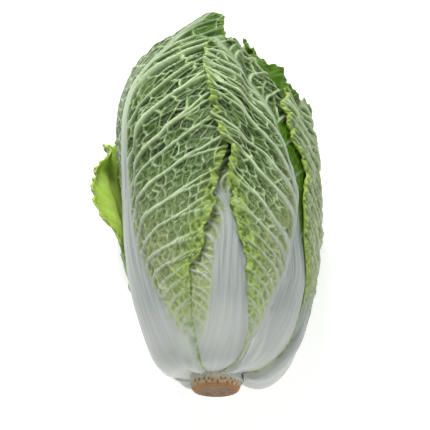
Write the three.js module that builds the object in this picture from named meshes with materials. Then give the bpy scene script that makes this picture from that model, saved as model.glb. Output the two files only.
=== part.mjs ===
// A head of napa cabbage, lying on its side as it rests on a table. All lengths are millimetres.
// +Y runs along the head from the cut stem to the leaf tips, +X is to the right and +Z is up.
//
// Every leaf lies on the head like a coat. A place on the head is given by b, the distance from
// the stem along the head's outline, by phi, the angle round its axis (0 is +X, 90 is up), and by
// h, the height above the packed heart. The leaves are laid from the inside out, and each one
// rests on the highest thing under it, so that no two of them meet.
import * as THREE from "three";

// ---- driving dimensions -------------------------------------------------------------------------
const AXIS_HEIGHT = 64.2; // the head's axis above the table
const SQUASH = 0.93; // the head is this much lower than it is wide
const SAG = 0.3; // how much flatter than round its underside has settled
const CLEARANCE = 1.1; // air between one leaf and the next
const BLADE = 1.0; // thickness of a leaf's blade
const NET_RELIEF = 1.9; // height of the side veins over the blisters between them
const CROSS_VEIN = 0.6; // height of the cross veins, as a share of the side veins'
const FRILL_HEIGHT = 3.0; // how far a free margin waves up
const FRILL_DEPTH = 2.0; // how far the margin's outline waves in and out
const STEM_RADIUS = 16.2;
const LEAF_START = 2; // the leaves begin this far out from the heart's foot, clear of the stem
const ROW_STEP = 9.6; // along a midrib, from a vein to the blister next to it

// The packed heart's outline: [distance along the axis, radius].
const HEART_OUTLINE = [
  [14, 19.5], [16, 28], [20, 35], [30, 43], [50, 51.5], [80, 59.5], [115, 64.5], [155, 66.5],
  [190, 66], [218, 61], [240, 51.5], [257, 40.5], [270, 29], [280, 17], [285.5, 7], [287, 0.4],
];
// The axis bends a little to the right and then back to the left: [distance along it, x].
const AXIS_BEND = [[0, 0], [16, 1.5], [35, 3], [75, 2], [150, 0], [225, -10.5], [260, -13], [300, -3]];

// The cut stem's outline: [distance along the axis, radius].
const STEM_OUTLINE = [
  [0.9, 0], [0.5, 8], [0, 13.5], [0.4, 15.4], [1.4, STEM_RADIUS], [3, 17.1], [4.6, 17.6],
  [7.5, 17.8], [10, 17.7], [12.2, 17.6], [12.8, 16.6], [12.8, 0],
];

// Each leaf, from the innermost to the outermost. Its midrib and both margins are angles by b, as
// [b, degrees]. The petiole's half width and thickness are [b, mm]. lag is how much further along
// the head a side vein meets the margin than it leaves the midrib. flare is how far a margin
// stands off the head, and curl how far its tip does.
const LEAVES = [
  {
    name: "front_leaf",
    tip: 200,
    midrib: [[0, 98], [12, 91], [30, 85], [55, 83], [80, 82.4], [104, 81.7], [117, 83], [126, 87],
      [136, 92], [200, 98]],
    low: [[0, 66], [10, 58], [20, 54], [50, 54], [90, 50], [140, 46], [200, 66]],
    high: [[0, 124], [20, 128], [50, 128], [90, 130], [140, 136], [200, 124]],
    petiole: [[0, 12], [10, 14], [20, 14], [35, 12.5], [50, 11], [66, 10], [80, 9.4], [95, 7.4],
      [107, 5], [118, 2.6], [128, 1.8], [200, 1.6]],
    thick: [[0, 1.8], [5, 4.5], [12, 6.8], [30, 6.2], [60, 4.8], [100, 3.2], [150, 2.2], [200, 1.4]],
    lag: [[0, 0], [30, 10], [60, 15], [80, 14], [105, 12], [150, 10], [200, -9]],
  },
  {
    name: "left_leaf",
    tip: 302,
    midrib: [[0, 158], [15, 152], [30, 151], [60, 154], [90, 157], [125, 159], [159, 157],
      [189, 152], [211, 147], [228, 139], [245, 126], [262, 112], [280, 98], [304, 86]],
    low: [[0, 109], [20, 108], [41, 112], [60, 110], [77, 108], [84, 102], [93, 98], [104, 98],
      [113, 93], [129, 92], [147, 88], [158, 84], [175, 80], [200, 76], [230, 70], [250, 66],
      [262, 65], [280, 66], [304, 72]],
    high: [[0, 232], [20, 224], [40, 212], [60, 204], [100, 203], [150, 210], [200, 214],
      [240, 210], [258, 180], [272, 130], [304, 94]],
    petiole: [[0, 21], [20, 22], [40, 21], [60, 17.5], [90, 11.5], [125, 7.6], [160, 4.8], [200, 3],
      [240, 2], [304, 1.6]],
    thick: [[0, 1.6], [6, 4], [14, 6.2], [30, 6.5], [60, 5.5], [100, 4.6], [150, 3.6], [200, 2.8],
      [304, 1.5]],
    lag: [[0, 0], [30, 12], [60, 26], [100, 42], [150, 48], [200, 40], [250, 18], [304, -11]],
    curl: 8,
  },
  {
    name: "under_leaf",
    tip: 294,
    midrib: [[0, 270], [50, 269], [150, 268], [294, 270]],
    low: [[0, 232], [20, 230], [60, 222], [100, 214], [150, 207], [200, 202], [240, 199],
      [294, 190]],
    high: [[0, 311], [20, 312], [60, 320], [100, 331], [150, 343], [200, 362], [240, 383],
      [294, 378]],
    petiole: [[0, 17], [30, 22], [60, 25], [100, 25], [150, 22], [200, 14], [240, 6], [294, 1.6]],
    thick: [[0, 2], [8, 5], [30, 6], [60, 6], [100, 6.4], [125, 5.6], [150, 4.6], [200, 3.4],
      [240, 2.4], [294, 1.5]],
    lag: [[0, 0], [50, 14], [90, 36], [130, 56], [160, 60], [200, 42], [240, 18], [294, -12]],
  },
  {
    name: "right_leaf",
    tip: 254,
    midrib: [[0, 52], [15, 45], [26, 42.5], [33, 41], [45, 36.5], [57, 34], [69, 32], [78, 30.5], [85, 31],
      [92, 33], [106, 37.5], [119, 38.5], [133, 40.5], [160, 45], [190, 48], [201, 51], [212, 56],
      [221, 61], [232, 69], [243, 75], [254, 78]],
    low: [[0, 2], [20, 4], [60, 0], [100, -4], [150, -4], [180, 2], [200, 8], [215, 13], [228, 20],
      [238, 27], [246, 35], [254, 44]],
    high: [[0, 82], [5, 77], [10, 74], [16, 70], [26, 68], [36, 68], [47, 70], [87, 75], [97, 78],
      [106, 81], [125, 83], [140, 85], [147, 84], [156, 82], [163, 85], [168, 88], [178, 89],
      [210, 89], [238, 87], [250, 82]],
    petiole: [[0, 12.5], [15, 13], [26, 16], [33, 17.5], [45, 18.5], [57, 18], [69, 17], [78, 16], [85, 13.5],
      [92, 10.3], [100, 6.6], [108, 4.8], [119, 3.4], [135, 2.6], [150, 2], [254, 1.4]],
    thick: [[0, 1.6], [6, 4], [14, 5.8], [30, 6], [60, 4.6], [100, 3.2], [150, 2.2], [200, 1.8],
      [254, 1.3]],
    lag: [[0, 0], [30, 12], [60, 28], [100, 46], [150, 44], [200, 18], [232, 0], [255, -7]],
    flareLow: [[210, 0], [226, 1], [238, 3], [246, 4.5], [254, 4]],
  },
  {
    name: "left_outer_leaf",
    tip: 210,
    midrib: [[0, 234], [30, 230], [60, 221], [100, 217], [150, 212], [210, 208]],
    low: [[0, 218], [20, 212], [60, 204], [90, 201], [112, 199], [135, 188], [210, 192]],
    high: [[0, 250], [25, 248], [60, 238], [100, 234], [150, 231], [210, 225]],
    petiole: [[0, 8], [30, 11], [60, 12], [100, 10], [150, 6], [210, 1.8]],
    thick: [[0, 1.4], [10, 2.4], [30, 4], [50, 6], [70, 6], [100, 4.6], [150, 2.6], [210, 1.4]],
    lag: [[0, 0], [50, 24], [100, 32], [150, 28], [180, 14], [210, -9]],
    flareLow: [[85, 0], [112, 0.5], [126, 2], [136, 8], [148, 15], [162, 17], [176, 15], [186, 10],
      [192, 5], [210, 1]],
  },
  {
    name: "right_outer_leaf",
    tip: 216,
    midrib: [[0, -10], [50, -16], [100, -20], [140, -20], [170, -14], [190, -4], [204, 8], [216, 20]],
    low: [[0, -46], [20, -48], [60, -54], [140, -54], [170, -44], [190, -30], [204, -8], [216, 12]],
    high: [[0, 22], [15, 29], [23, 26], [36, 20], [50, 19], [67, 16], [81, 18], [90, 22], [105, 29],
      [123, 31], [137, 32], [150, 28], [160, 27], [168, 32], [176, 38], [186, 40], [196, 43],
      [206, 42], [216, 33]],
    petiole: [[0, 15], [30, 18], [60, 14], [100, 8], [150, 4.5], [200, 2.4], [216, 1.5]],
    thick: [[0, 2.5], [6, 7], [12, 9.5], [25, 9.5], [45, 6.5], [70, 5], [100, 4.2], [150, 3],
      [200, 2.2], [216, 1.4]],
    lag: [[0, 0], [50, 30], [100, 42], [150, 40], [190, 22], [232, -8]],
  },
];

// Where the columns of a leaf's lattice lie on one side: across the petiole, as a share of its
// half width, and then across the blade, as a share of the way from the petiole to the margin.
const PETIOLE_SHARES = [0.55, 1];
const BLADE_SHARES = [0.17, 0.34, 0.51, 0.68, 0.85, 1];

const HEART_ROWS = [0, 9, 20, 40, 75, 115, 155, 190, 212, 230, 245, 257, 267, 276, 285, 293, 301, 308];
const HEART_COLUMNS = 40;
const HEART_LEAVES = 7;
const HEART_STEP = 1.3; // thickness of one of the heart's own leaf edges

// ---- curves -------------------------------------------------------------------------------------
/** A smooth function through [x, y] knots, level beyond the first and the last. */
function through(knots) {
  const slope = knots.map((_, i) => {
    const a = knots[Math.max(i - 1, 0)];
    const c = knots[Math.min(i + 1, knots.length - 1)];
    return (c[1] - a[1]) / (c[0] - a[0]);
  });
  return (x) => {
    if (x <= knots[0][0]) return knots[0][1];
    if (x >= knots.at(-1)[0]) return knots.at(-1)[1];
    const i = knots.findIndex((k) => k[0] > x) - 1;
    const [[x0, y0], [x1, y1]] = [knots[i], knots[i + 1]];
    const w = x1 - x0;
    const t = (x - x0) / w;
    return (2 * t ** 3 - 3 * t ** 2 + 1) * y0 + (t ** 3 - 2 * t ** 2 + t) * w * slope[i]
      + (3 * t ** 2 - 2 * t ** 3) * y1 + (t ** 3 - t ** 2) * w * slope[i + 1];
  };
}

const smoothstep = (low, high, x) => THREE.MathUtils.smoothstep(x, low, high);
const radians = THREE.MathUtils.degToRad;

// ---- the head's own surface ---------------------------------------------------------------------
const outline = new THREE.SplineCurve(HEART_OUTLINE.map(([s, r]) => new THREE.Vector2(s, r)));
outline.arcLengthDivisions = 800;
const OUTLINE_LENGTH = outline.getLength();
const axisBend = through(AXIS_BEND);

/** The point at b along the outline, at angle phi in degrees and h above the heart. */
function headPoint(b, phi, h) {
  const share = THREE.MathUtils.clamp(b / OUTLINE_LENGTH, 0, 1);
  const at = outline.getPointAt(share);
  const along = outline.getTangentAt(share);
  const s = at.x - along.y * h;
  const r = at.y + along.x * h;
  const x = axisBend(s) + r * Math.cos(radians(phi));
  let rise = Math.sin(radians(phi));
  if (rise < 0) rise *= 1 + SAG * (1 - rise ** 2);
  const z = AXIS_HEIGHT + SQUASH * r * rise;
  return new THREE.Vector3(x, s, Math.max(z, 0));
}

/** The head's radius at b. */
const radiusAt = (b) => outline.getPointAt(THREE.MathUtils.clamp(b / OUTLINE_LENGTH, 0, 1)).y;

// ---- the stack of leaves ------------------------------------------------------------------------
const CELL_B = 2.5;
const CELL_PHI = 2;
const CELLS_B = Math.ceil(OUTLINE_LENGTH / CELL_B) + 1;
const CELLS_PHI = 360 / CELL_PHI;

/** How high the pieces laid so far reach above the heart, on a grid of b and phi. */
class Stack {
  constructor() {
    this.height = new Float32Array(CELLS_B * CELLS_PHI).fill(-10);
  }

  cell(i, j) {
    const row = THREE.MathUtils.clamp(i, 0, CELLS_B - 1);
    return row * CELLS_PHI + ((j % CELLS_PHI) + CELLS_PHI) % CELLS_PHI;
  }

  /** The greatest height within reachB and reachPhi of a place. */
  highest(b, phi, reachB, reachPhi) {
    let best = -10;
    for (let i = Math.floor((b - reachB) / CELL_B); i <= Math.ceil((b + reachB) / CELL_B); i++)
      for (let j = Math.floor((phi - reachPhi) / CELL_PHI); j <= Math.ceil((phi + reachPhi) / CELL_PHI); j++)
        best = Math.max(best, this.height[this.cell(i, j)]);
    return best;
  }

  /** Raises the grid to a triangle whose corners are { b, phi, top }. */
  cover(p, q, r) {
    const bs = [p.b, q.b, r.b];
    const phis = [p.phi, q.phi, r.phi];
    const area = (q.b - p.b) * (r.phi - p.phi) - (r.b - p.b) * (q.phi - p.phi);
    if (Math.abs(area) < 1e-6) return;
    const margin = 0.6; // cells whose middle lies just outside are covered too
    for (let i = Math.floor(Math.min(...bs) / CELL_B) - 1; i <= Math.ceil(Math.max(...bs) / CELL_B) + 1; i++)
      for (let j = Math.floor(Math.min(...phis) / CELL_PHI) - 1; j <= Math.ceil(Math.max(...phis) / CELL_PHI) + 1; j++) {
        const b = THREE.MathUtils.clamp(i * CELL_B, Math.min(...bs), Math.max(...bs));
        const phi = THREE.MathUtils.clamp(j * CELL_PHI, Math.min(...phis), Math.max(...phis));
        const v = ((b - p.b) * (r.phi - p.phi) - (r.b - p.b) * (phi - p.phi)) / area;
        const w = ((q.b - p.b) * (phi - p.phi) - (b - p.b) * (q.phi - p.phi)) / area;
        const u = 1 - v - w;
        if (Math.min(u, v, w) < -margin) continue;
        const top = Math.max(0, u) * p.top + Math.max(0, v) * q.top + Math.max(0, w) * r.top;
        const share = Math.max(0, u) + Math.max(0, v) + Math.max(0, w);
        const k = this.cell(i, j);
        this.height[k] = Math.max(this.height[k], top / share);
      }
  }
}

// ---- meshes -------------------------------------------------------------------------------------
/** A closed sheet from two lattices of points of the same rows and columns, outer and inner. */
function sheet(outer, inner) {
  const rows = outer.length;
  const columns = outer[0].length;
  const positions = [...outer.flat(), ...inner.flat()].flatMap((p) => p.toArray());
  const index = [];
  const at = (layer, i, j) => layer * rows * columns + i * columns + j;
  const quad = (a, b, c, d) => index.push(a, b, c, a, c, d);
  for (let i = 0; i < rows - 1; i++)
    for (let j = 0; j < columns - 1; j++) {
      quad(at(0, i, j), at(0, i + 1, j), at(0, i + 1, j + 1), at(0, i, j + 1));
      index.push(at(1, i, j), at(1, i + 1, j + 1), at(1, i + 1, j));
      index.push(at(1, i, j), at(1, i, j + 1), at(1, i + 1, j + 1));
    }
  for (let i = 0; i < rows - 1; i++) {
    quad(at(0, i, 0), at(1, i, 0), at(1, i + 1, 0), at(0, i + 1, 0));
    quad(at(0, i + 1, columns - 1), at(1, i + 1, columns - 1), at(1, i, columns - 1), at(0, i, columns - 1));
  }
  for (let j = 0; j < columns - 1; j++) {
    quad(at(0, 0, j + 1), at(1, 0, j + 1), at(1, 0, j), at(0, 0, j));
    quad(at(0, rows - 1, j), at(1, rows - 1, j), at(1, rows - 1, j + 1), at(0, rows - 1, j + 1));
  }
  const geometry = new THREE.BufferGeometry();
  geometry.setAttribute("position", new THREE.Float32BufferAttribute(positions, 3));
  geometry.setIndex(index);
  return geometry;
}

function named(name, geometry, colour, roughness) {
  geometry.computeVertexNormals();
  const mesh = new THREE.Mesh(geometry, new THREE.MeshStandardMaterial({ color: colour, roughness, metalness: 0 }));
  mesh.name = name;
  return mesh;
}

// ---- stem and heart -----------------------------------------------------------------------------
/** The cut stem that all the leaves grow from, with the scars of trimmed leaves round its side. */
function makeStem() {
  const side = new THREE.LatheGeometry(STEM_OUTLINE.map(([s, r]) => new THREE.Vector2(r, s)), 36);
  const place = side.getAttribute("position");
  const p = new THREE.Vector3();
  for (let i = 0; i < place.count; i++) {
    p.fromBufferAttribute(place, i);
    const angle = Math.atan2(p.z, p.x);
    const onSide = smoothstep(13, 17, Math.hypot(p.x, p.z)) * (1 - smoothstep(8, 12, p.y));
    const scar = 1 + 0.035 * onSide * Math.sin(9 * angle + 1.7 * p.y);
    place.setXYZ(i, p.x * scar, p.y, AXIS_HEIGHT + p.z * scar);
  }
  side.deleteAttribute("normal");
  side.deleteAttribute("uv");
  // The outline runs from the cut face inwards, so its faces already point out once Y is kept.
  return named("stem", side, 0xa07a52, 0.8);
}

/** How high the heart's own leaf edges stand at a place. They wrap over one another at the top. */
function heartRelief(b, phi) {
  let height = -HEART_STEP * 3;
  for (let k = 0; k < HEART_LEAVES; k++) {
    const turn = ((phi - k * 137.5) % 360 + 540) % 360 - 180;
    const reach = 62 + 9 * Math.sin(b * 0.33 + k * 2.1) - 0.25 * k;
    const end = 250 + 8.5 * k + 5 * Math.cos(radians(turn) * 6 + k);
    if (Math.abs(turn) < reach && b < end) height = Math.max(height, -HEART_STEP * (k * 0.45));
  }
  return Math.min(height, -0.05);
}

/** The tightly packed inner leaves, as one dense body whose leaf edges stand out at the top. */
function makeHeart(stack) {
  const positions = [];
  const index = [];
  const push = (p) => positions.push(p.x, p.y, p.z) / 3 - 1;
  const lattice = HEART_ROWS.map((b) => Array.from({ length: HEART_COLUMNS }, (_, j) => {
    const phi = (j * 360) / HEART_COLUMNS;
    const top = heartRelief(b, phi);
    return { b, phi, top, index: push(headPoint(b, phi, top)) };
  }));
  const base = push(new THREE.Vector3(axisBend(14), 14, AXIS_HEIGHT));
  const last = lattice.at(-1);
  const crown = push(new THREE.Vector3(axisBend(284), 284, AXIS_HEIGHT));
  for (let j = 0; j < HEART_COLUMNS; j++) {
    const k = (j + 1) % HEART_COLUMNS;
    index.push(base, lattice[0][j].index, lattice[0][k].index);
    index.push(crown, last[k].index, last[j].index);
    for (let i = 0; i < lattice.length - 1; i++) {
      const [p, q, r, s] = [lattice[i][j], lattice[i + 1][j], lattice[i + 1][k], lattice[i][k]];
      index.push(p.index, q.index, r.index, p.index, r.index, s.index);
      const [r2, s2] = [{ ...r, phi: q.phi + 360 / HEART_COLUMNS }, { ...s, phi: p.phi + 360 / HEART_COLUMNS }];
      stack.cover(p, q, r2);
      stack.cover(p, r2, s2);
    }
  }
  const geometry = new THREE.BufferGeometry();
  geometry.setAttribute("position", new THREE.Float32BufferAttribute(positions, 3));
  geometry.setIndex(index);
  return named("heart", geometry, 0xb9cf7a, 0.6);
}

// ---- leaves -------------------------------------------------------------------------------------
/** One leaf: a thick white petiole and midrib with a thin, netted and frilled blade on each side. */
function makeLeaf(leaf, stack) {
  const midrib = through(leaf.midrib);
  const petiole = through(leaf.petiole);
  const thick = through(leaf.thick);
  const lag = through(leaf.lag);
  const sides = [
    { sign: -1, edge: through(leaf.low), flare: through(leaf.flareLow ?? [[0, 0], [1, 0]]) },
    { sign: 1, edge: through(leaf.high), flare: through(leaf.flareHigh ?? [[0, 0], [1, 0]]) },
  ];
  const rowCount = 2 * Math.round(leaf.tip / ROW_STEP / 2);

  /** The lattice point of row i on one side, at a share of the petiole and of the blade. */
  function place(i, side, acrossPetiole, acrossBlade, column) {
    const bMid = THREE.MathUtils.lerp(LEAF_START, leaf.tip, i / rowCount);
    const b = bMid + lag(bMid) * acrossBlade ** 0.8;
    const halfWidth = petiole(bMid);
    const radius = Math.max(radiusAt(b), 34);
    const towards = side ? side.sign : 0;
    let phi = midrib(b) + (towards * acrossPetiole * halfWidth * 180) / (Math.PI * radius);
    const grown = smoothstep(20, 75, bMid); // the blade's relief and frill fade out at the stem
    let vein = column % 2 === 0 ? CROSS_VEIN : 0;
    if (i % 2 === 0) vein = 1;
    let wave = acrossBlade > 0 ? NET_RELIEF * vein * grown : 0;
    let thickness = THREE.MathUtils.lerp(thick(bMid), BLADE, smoothstep(0, 0.2, acrossBlade));
    if (acrossBlade === 0) thickness = BLADE + (thick(bMid) - BLADE) * (1 - 0.35 * acrossPetiole ** 2);
    const nearTip = smoothstep(leaf.tip - 20, leaf.tip, bMid) ** 1.5;
    let flare = nearTip * THREE.MathUtils.lerp(leaf.curl ?? 1, 1, smoothstep(0.05, 0.45, acrossBlade));
    if (side && acrossBlade > 0) {
      phi += (side.edge(b) - phi) * acrossBlade;
      const atMargin = smoothstep(0.55, 1, acrossBlade);
      const ripple = Math.sin(2.45 * i + 1.3 * side.sign) * (0.75 + 0.25 * Math.sin(0.9 * i));
      phi += (side.sign * ripple * FRILL_DEPTH * atMargin * grown * 90) / (Math.PI * radius);
      wave += ((ripple + 1) / 2) * FRILL_HEIGHT * atMargin * grown;
      flare += side.flare(b) * smoothstep(0.3, 1, acrossBlade) ** 1.5;
    }
    return { b, phi, wave, thickness, flare };
  }

  const lattice = [];
  for (let i = 0; i <= rowCount; i++) {
    const row = [place(i, null, 0, 0, 0)];
    for (const side of sides) {
      const arm = [
        ...PETIOLE_SHARES.map((share, k) => place(i, side, share, 0, k)),
        ...BLADE_SHARES.map((share, k) => place(i, side, 1, share, k)),
      ];
      if (side.sign < 0) row.unshift(...arm.reverse());
      else row.push(...arm);
    }
    lattice.push(row);
  }

  for (const row of lattice)
    for (const p of row) {
      const reachPhi = (ROW_STEP * 180) / (Math.PI * Math.max(radiusAt(p.b), 34));
      const under = stack.highest(p.b, p.phi, ROW_STEP, reachPhi);
      p.bottom = Math.max(under, -0.5) + CLEARANCE + p.wave + p.flare;
      p.top = p.bottom + p.thickness;
    }
  for (let i = 0; i < lattice.length - 1; i++)
    for (let j = 0; j < lattice[0].length - 1; j++) {
      const [p, q, r, s] = [lattice[i][j], lattice[i + 1][j], lattice[i + 1][j + 1], lattice[i][j + 1]];
      stack.cover(p, q, r);
      stack.cover(p, r, s);
    }
  const points = (height) => lattice.map((row) => row.map((p) => headPoint(p.b, p.phi, p[height])));
  return named(leaf.name, sheet(points("top"), points("bottom")), 0x9fbf73, 0.55);
}

// ---- assembly -----------------------------------------------------------------------------------
const head = new THREE.Group();
const stack = new Stack();
head.add(makeStem(), makeHeart(stack));
for (const leaf of LEAVES) head.add(makeLeaf(leaf, stack));

// The origin is on the table, under the middle of the head.
const box = new THREE.Box3().setFromObject(head, true);
const centre = box.getCenter(new THREE.Vector3());
head.position.set(-centre.x, -centre.y, -box.min.z);

export default head;
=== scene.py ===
"""A head of napa cabbage, cut off at the stem and lying on its side.

The head is built leaf by leaf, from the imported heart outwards. A place on it is given by b, the
distance from the stem along the head's outline, by phi, the angle round its axis (0 is +X, 90 is
up), and by h, the height above the heart. Each leaf is laid on whatever is already under it.
Sizes in the classes are millimetres, and each mesh is turned to metres as it is made.
"""

import logging
import math
from dataclasses import dataclass, field
from enum import Enum
from typing import Callable

import bmesh
import bpy
import numpy as np
from mathutils import Matrix, Vector


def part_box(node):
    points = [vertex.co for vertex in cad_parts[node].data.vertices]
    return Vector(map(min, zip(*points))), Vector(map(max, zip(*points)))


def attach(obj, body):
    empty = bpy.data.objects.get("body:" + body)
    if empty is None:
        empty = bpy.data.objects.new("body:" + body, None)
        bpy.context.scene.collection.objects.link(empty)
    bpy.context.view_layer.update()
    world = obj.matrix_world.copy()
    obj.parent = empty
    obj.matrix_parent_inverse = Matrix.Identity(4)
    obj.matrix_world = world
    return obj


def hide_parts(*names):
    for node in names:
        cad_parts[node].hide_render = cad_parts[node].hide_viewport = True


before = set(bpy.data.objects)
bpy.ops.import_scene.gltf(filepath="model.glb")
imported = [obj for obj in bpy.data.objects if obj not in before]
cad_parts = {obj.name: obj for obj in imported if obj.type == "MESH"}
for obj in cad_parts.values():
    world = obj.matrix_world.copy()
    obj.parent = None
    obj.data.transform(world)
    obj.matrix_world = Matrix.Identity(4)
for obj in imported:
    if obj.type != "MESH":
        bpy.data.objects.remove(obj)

Span = tuple[float, float]
Knots = tuple[Span, ...]
VeinPaths = tuple[tuple[float, ...], ...]
Colour = tuple[float, float, float, float]
log = logging.getLogger("napa_cabbage")


# ---- numbers and curves ---------------------------------------------------------------------------
def linear(hex_colour: str) -> Colour:
    """Turns an sRGB colour into the linear one that shaders take.

    Args:
        hex_colour: The colour, as "#rrggbb".

    Returns:
        Red, green, blue and an alpha of 1.
    """
    parts = [int(hex_colour[i:i + 2], 16) / 255 for i in (1, 3, 5)]
    return (*((c / 12.92 if c <= 0.04045 else ((c + 0.055) / 1.055) ** 2.4) for c in parts), 1.0)


def smooth(low: float | np.ndarray, high: float | np.ndarray, x: np.ndarray) -> np.ndarray:
    """Rises smoothly from 0 at low to 1 at high.

    Args:
        low: Where the rise begins.
        high: Where it ends.
        x: The places to work it out at.

    Returns:
        The share risen at each place.
    """
    t = np.clip((x - low) / (high - low), 0.0, 1.0)
    return t * t * (3 - 2 * t)


def chance(i: np.ndarray, j: np.ndarray, seed: float) -> np.ndarray:
    """A fixed but scattered number from 0 to 1 for each pair of whole numbers.

    Args:
        i: The first number of each pair.
        j: The second number of each pair.
        seed: Gives another set of numbers.

    Returns:
        One number for each pair.
    """
    wave = np.sin(i * 127.1 + j * 311.7 + seed * 74.7) * 43758.5453
    return wave - np.floor(wave)


def wander(x: np.ndarray, y: np.ndarray, seed: float) -> np.ndarray:
    """Smooth noise with features one unit across.

    Args:
        x: First coordinate of each place.
        y: Second coordinate of each place.
        seed: Gives another noise.

    Returns:
        A value from -1 to 1 at each place.
    """
    i, j = np.floor(x), np.floor(y)
    u, v = smooth(0, 1, x - i), smooth(0, 1, y - j)
    low = chance(i, j, seed) * (1 - u) + chance(i + 1, j, seed) * u
    high = chance(i, j + 1, seed) * (1 - u) + chance(i + 1, j + 1, seed) * u
    return 2 * (low * (1 - v) + high * v) - 1


def net_cells(x: np.ndarray, y: np.ndarray, band: np.ndarray, size: float,
              seed: float) -> tuple[np.ndarray, np.ndarray]:
    """Divides each band of a surface into irregular cells, and measures how near the walls are.

    Args:
        x: Place across the surface, in millimetres.
        y: Place along it.
        band: The number of the band that each place is in. No wall is drawn between two bands.
        size: How far the cells' middles are apart.
        seed: Gives another set of cells.

    Returns:
        How far each place is from a wall, and a number from 0 to 1 that is its cell's own.
    """
    i, j = np.floor(x / size).astype(int), np.floor(y / size).astype(int)
    i, j = i - i.min() + 3, j - j.min() + 3  # room for the cells two steps beyond the first
    shape = (i.max() + 4, j.max() + 4)
    wanted_x = (np.floor(x / size) + 0.5 + 0.85 * (chance(i, j, seed) - 0.5)) * size
    wanted_y = (np.floor(y / size) + 0.5 + 0.85 * (chance(i, j, seed + 31) - 0.5)) * size
    key = i * shape[1] + j
    order = np.lexsort(((x - wanted_x) ** 2 + (y - wanted_y) ** 2, key))
    squares, first = np.unique(key[order], return_index=True)
    chosen = order[first]
    middle_x, middle_y = np.full(shape, 1e6), np.full(shape, 1e6)
    middle_band = np.full(shape, -99)
    for grid, values in ((middle_x, x), (middle_y, y), (middle_band, band)):
        grid.ravel()[squares] = values[chosen]
    nearest = np.full(x.shape, 1e9)
    mx, my, own = np.zeros(x.shape), np.zeros(x.shape), np.zeros(x.shape)
    for di in (-1, 0, 1):
        for dj in (-1, 0, 1):
            at = (i + di, j + dj)
            rx, ry = middle_x[at] - x, middle_y[at] - y
            closer = (rx * rx + ry * ry < nearest) & (middle_band[at] == band)
            nearest = np.where(closer, rx * rx + ry * ry, nearest)
            mx, my = np.where(closer, rx, mx), np.where(closer, ry, my)
            own = np.where(closer, chance(i + di, j + dj, seed + 57), own)
    border = np.full(x.shape, 9.0)
    for di in (-2, -1, 0, 1, 2):
        for dj in (-2, -1, 0, 1, 2):
            at = (i + di, j + dj)
            rx, ry = middle_x[at] - x, middle_y[at] - y
            gap = np.hypot(rx - mx, ry - my)
            apart = ((mx + rx) * (rx - mx) + (my + ry) * (ry - my)) / (2 * np.maximum(gap, 1e-6))
            fits = (gap > 1e-3) & (gap < 1e4) & (middle_band[at] == band) & (nearest < 1e8)
            border = np.where(fits, np.minimum(border, apart), border)
    return border, own


@dataclass(frozen=True)
class Curve:
    """A smooth function through [x, y] knots, level beyond the first and the last."""

    knots: Knots

    def __call__(self, x: np.ndarray) -> np.ndarray:
        """Works the curve out.

        Args:
            x: The places to work it out at.

        Returns:
            Its height at each of them.
        """
        xs, ys = np.array(self.knots, dtype=float).T
        if len(xs) == 1:
            return np.full(np.shape(x), ys[0])
        slope = np.empty(len(xs))
        slope[1:-1] = (ys[2:] - ys[:-2]) / (xs[2:] - xs[:-2])
        slope[0], slope[-1] = (ys[1] - ys[0]) / (xs[1] - xs[0]), (ys[-1] - ys[-2]) / (xs[-1] - xs[-2])
        x = np.clip(x, xs[0], xs[-1])
        i = np.clip(np.searchsorted(xs, x, side="right") - 1, 0, len(xs) - 2)
        w = xs[i + 1] - xs[i]
        t = (x - xs[i]) / w
        return ((2 * t ** 3 - 3 * t ** 2 + 1) * ys[i] + (t ** 3 - 2 * t ** 2 + t) * w * slope[i]
                + (3 * t ** 2 - 2 * t ** 3) * ys[i + 1] + (t ** 3 - t ** 2) * w * slope[i + 1])


LEVEL = Curve(((0.0, 0.0),))
RELIEF_GROWS: Span = (20, 75)  # the stretch from the stem over which a leaf's relief grows


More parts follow.
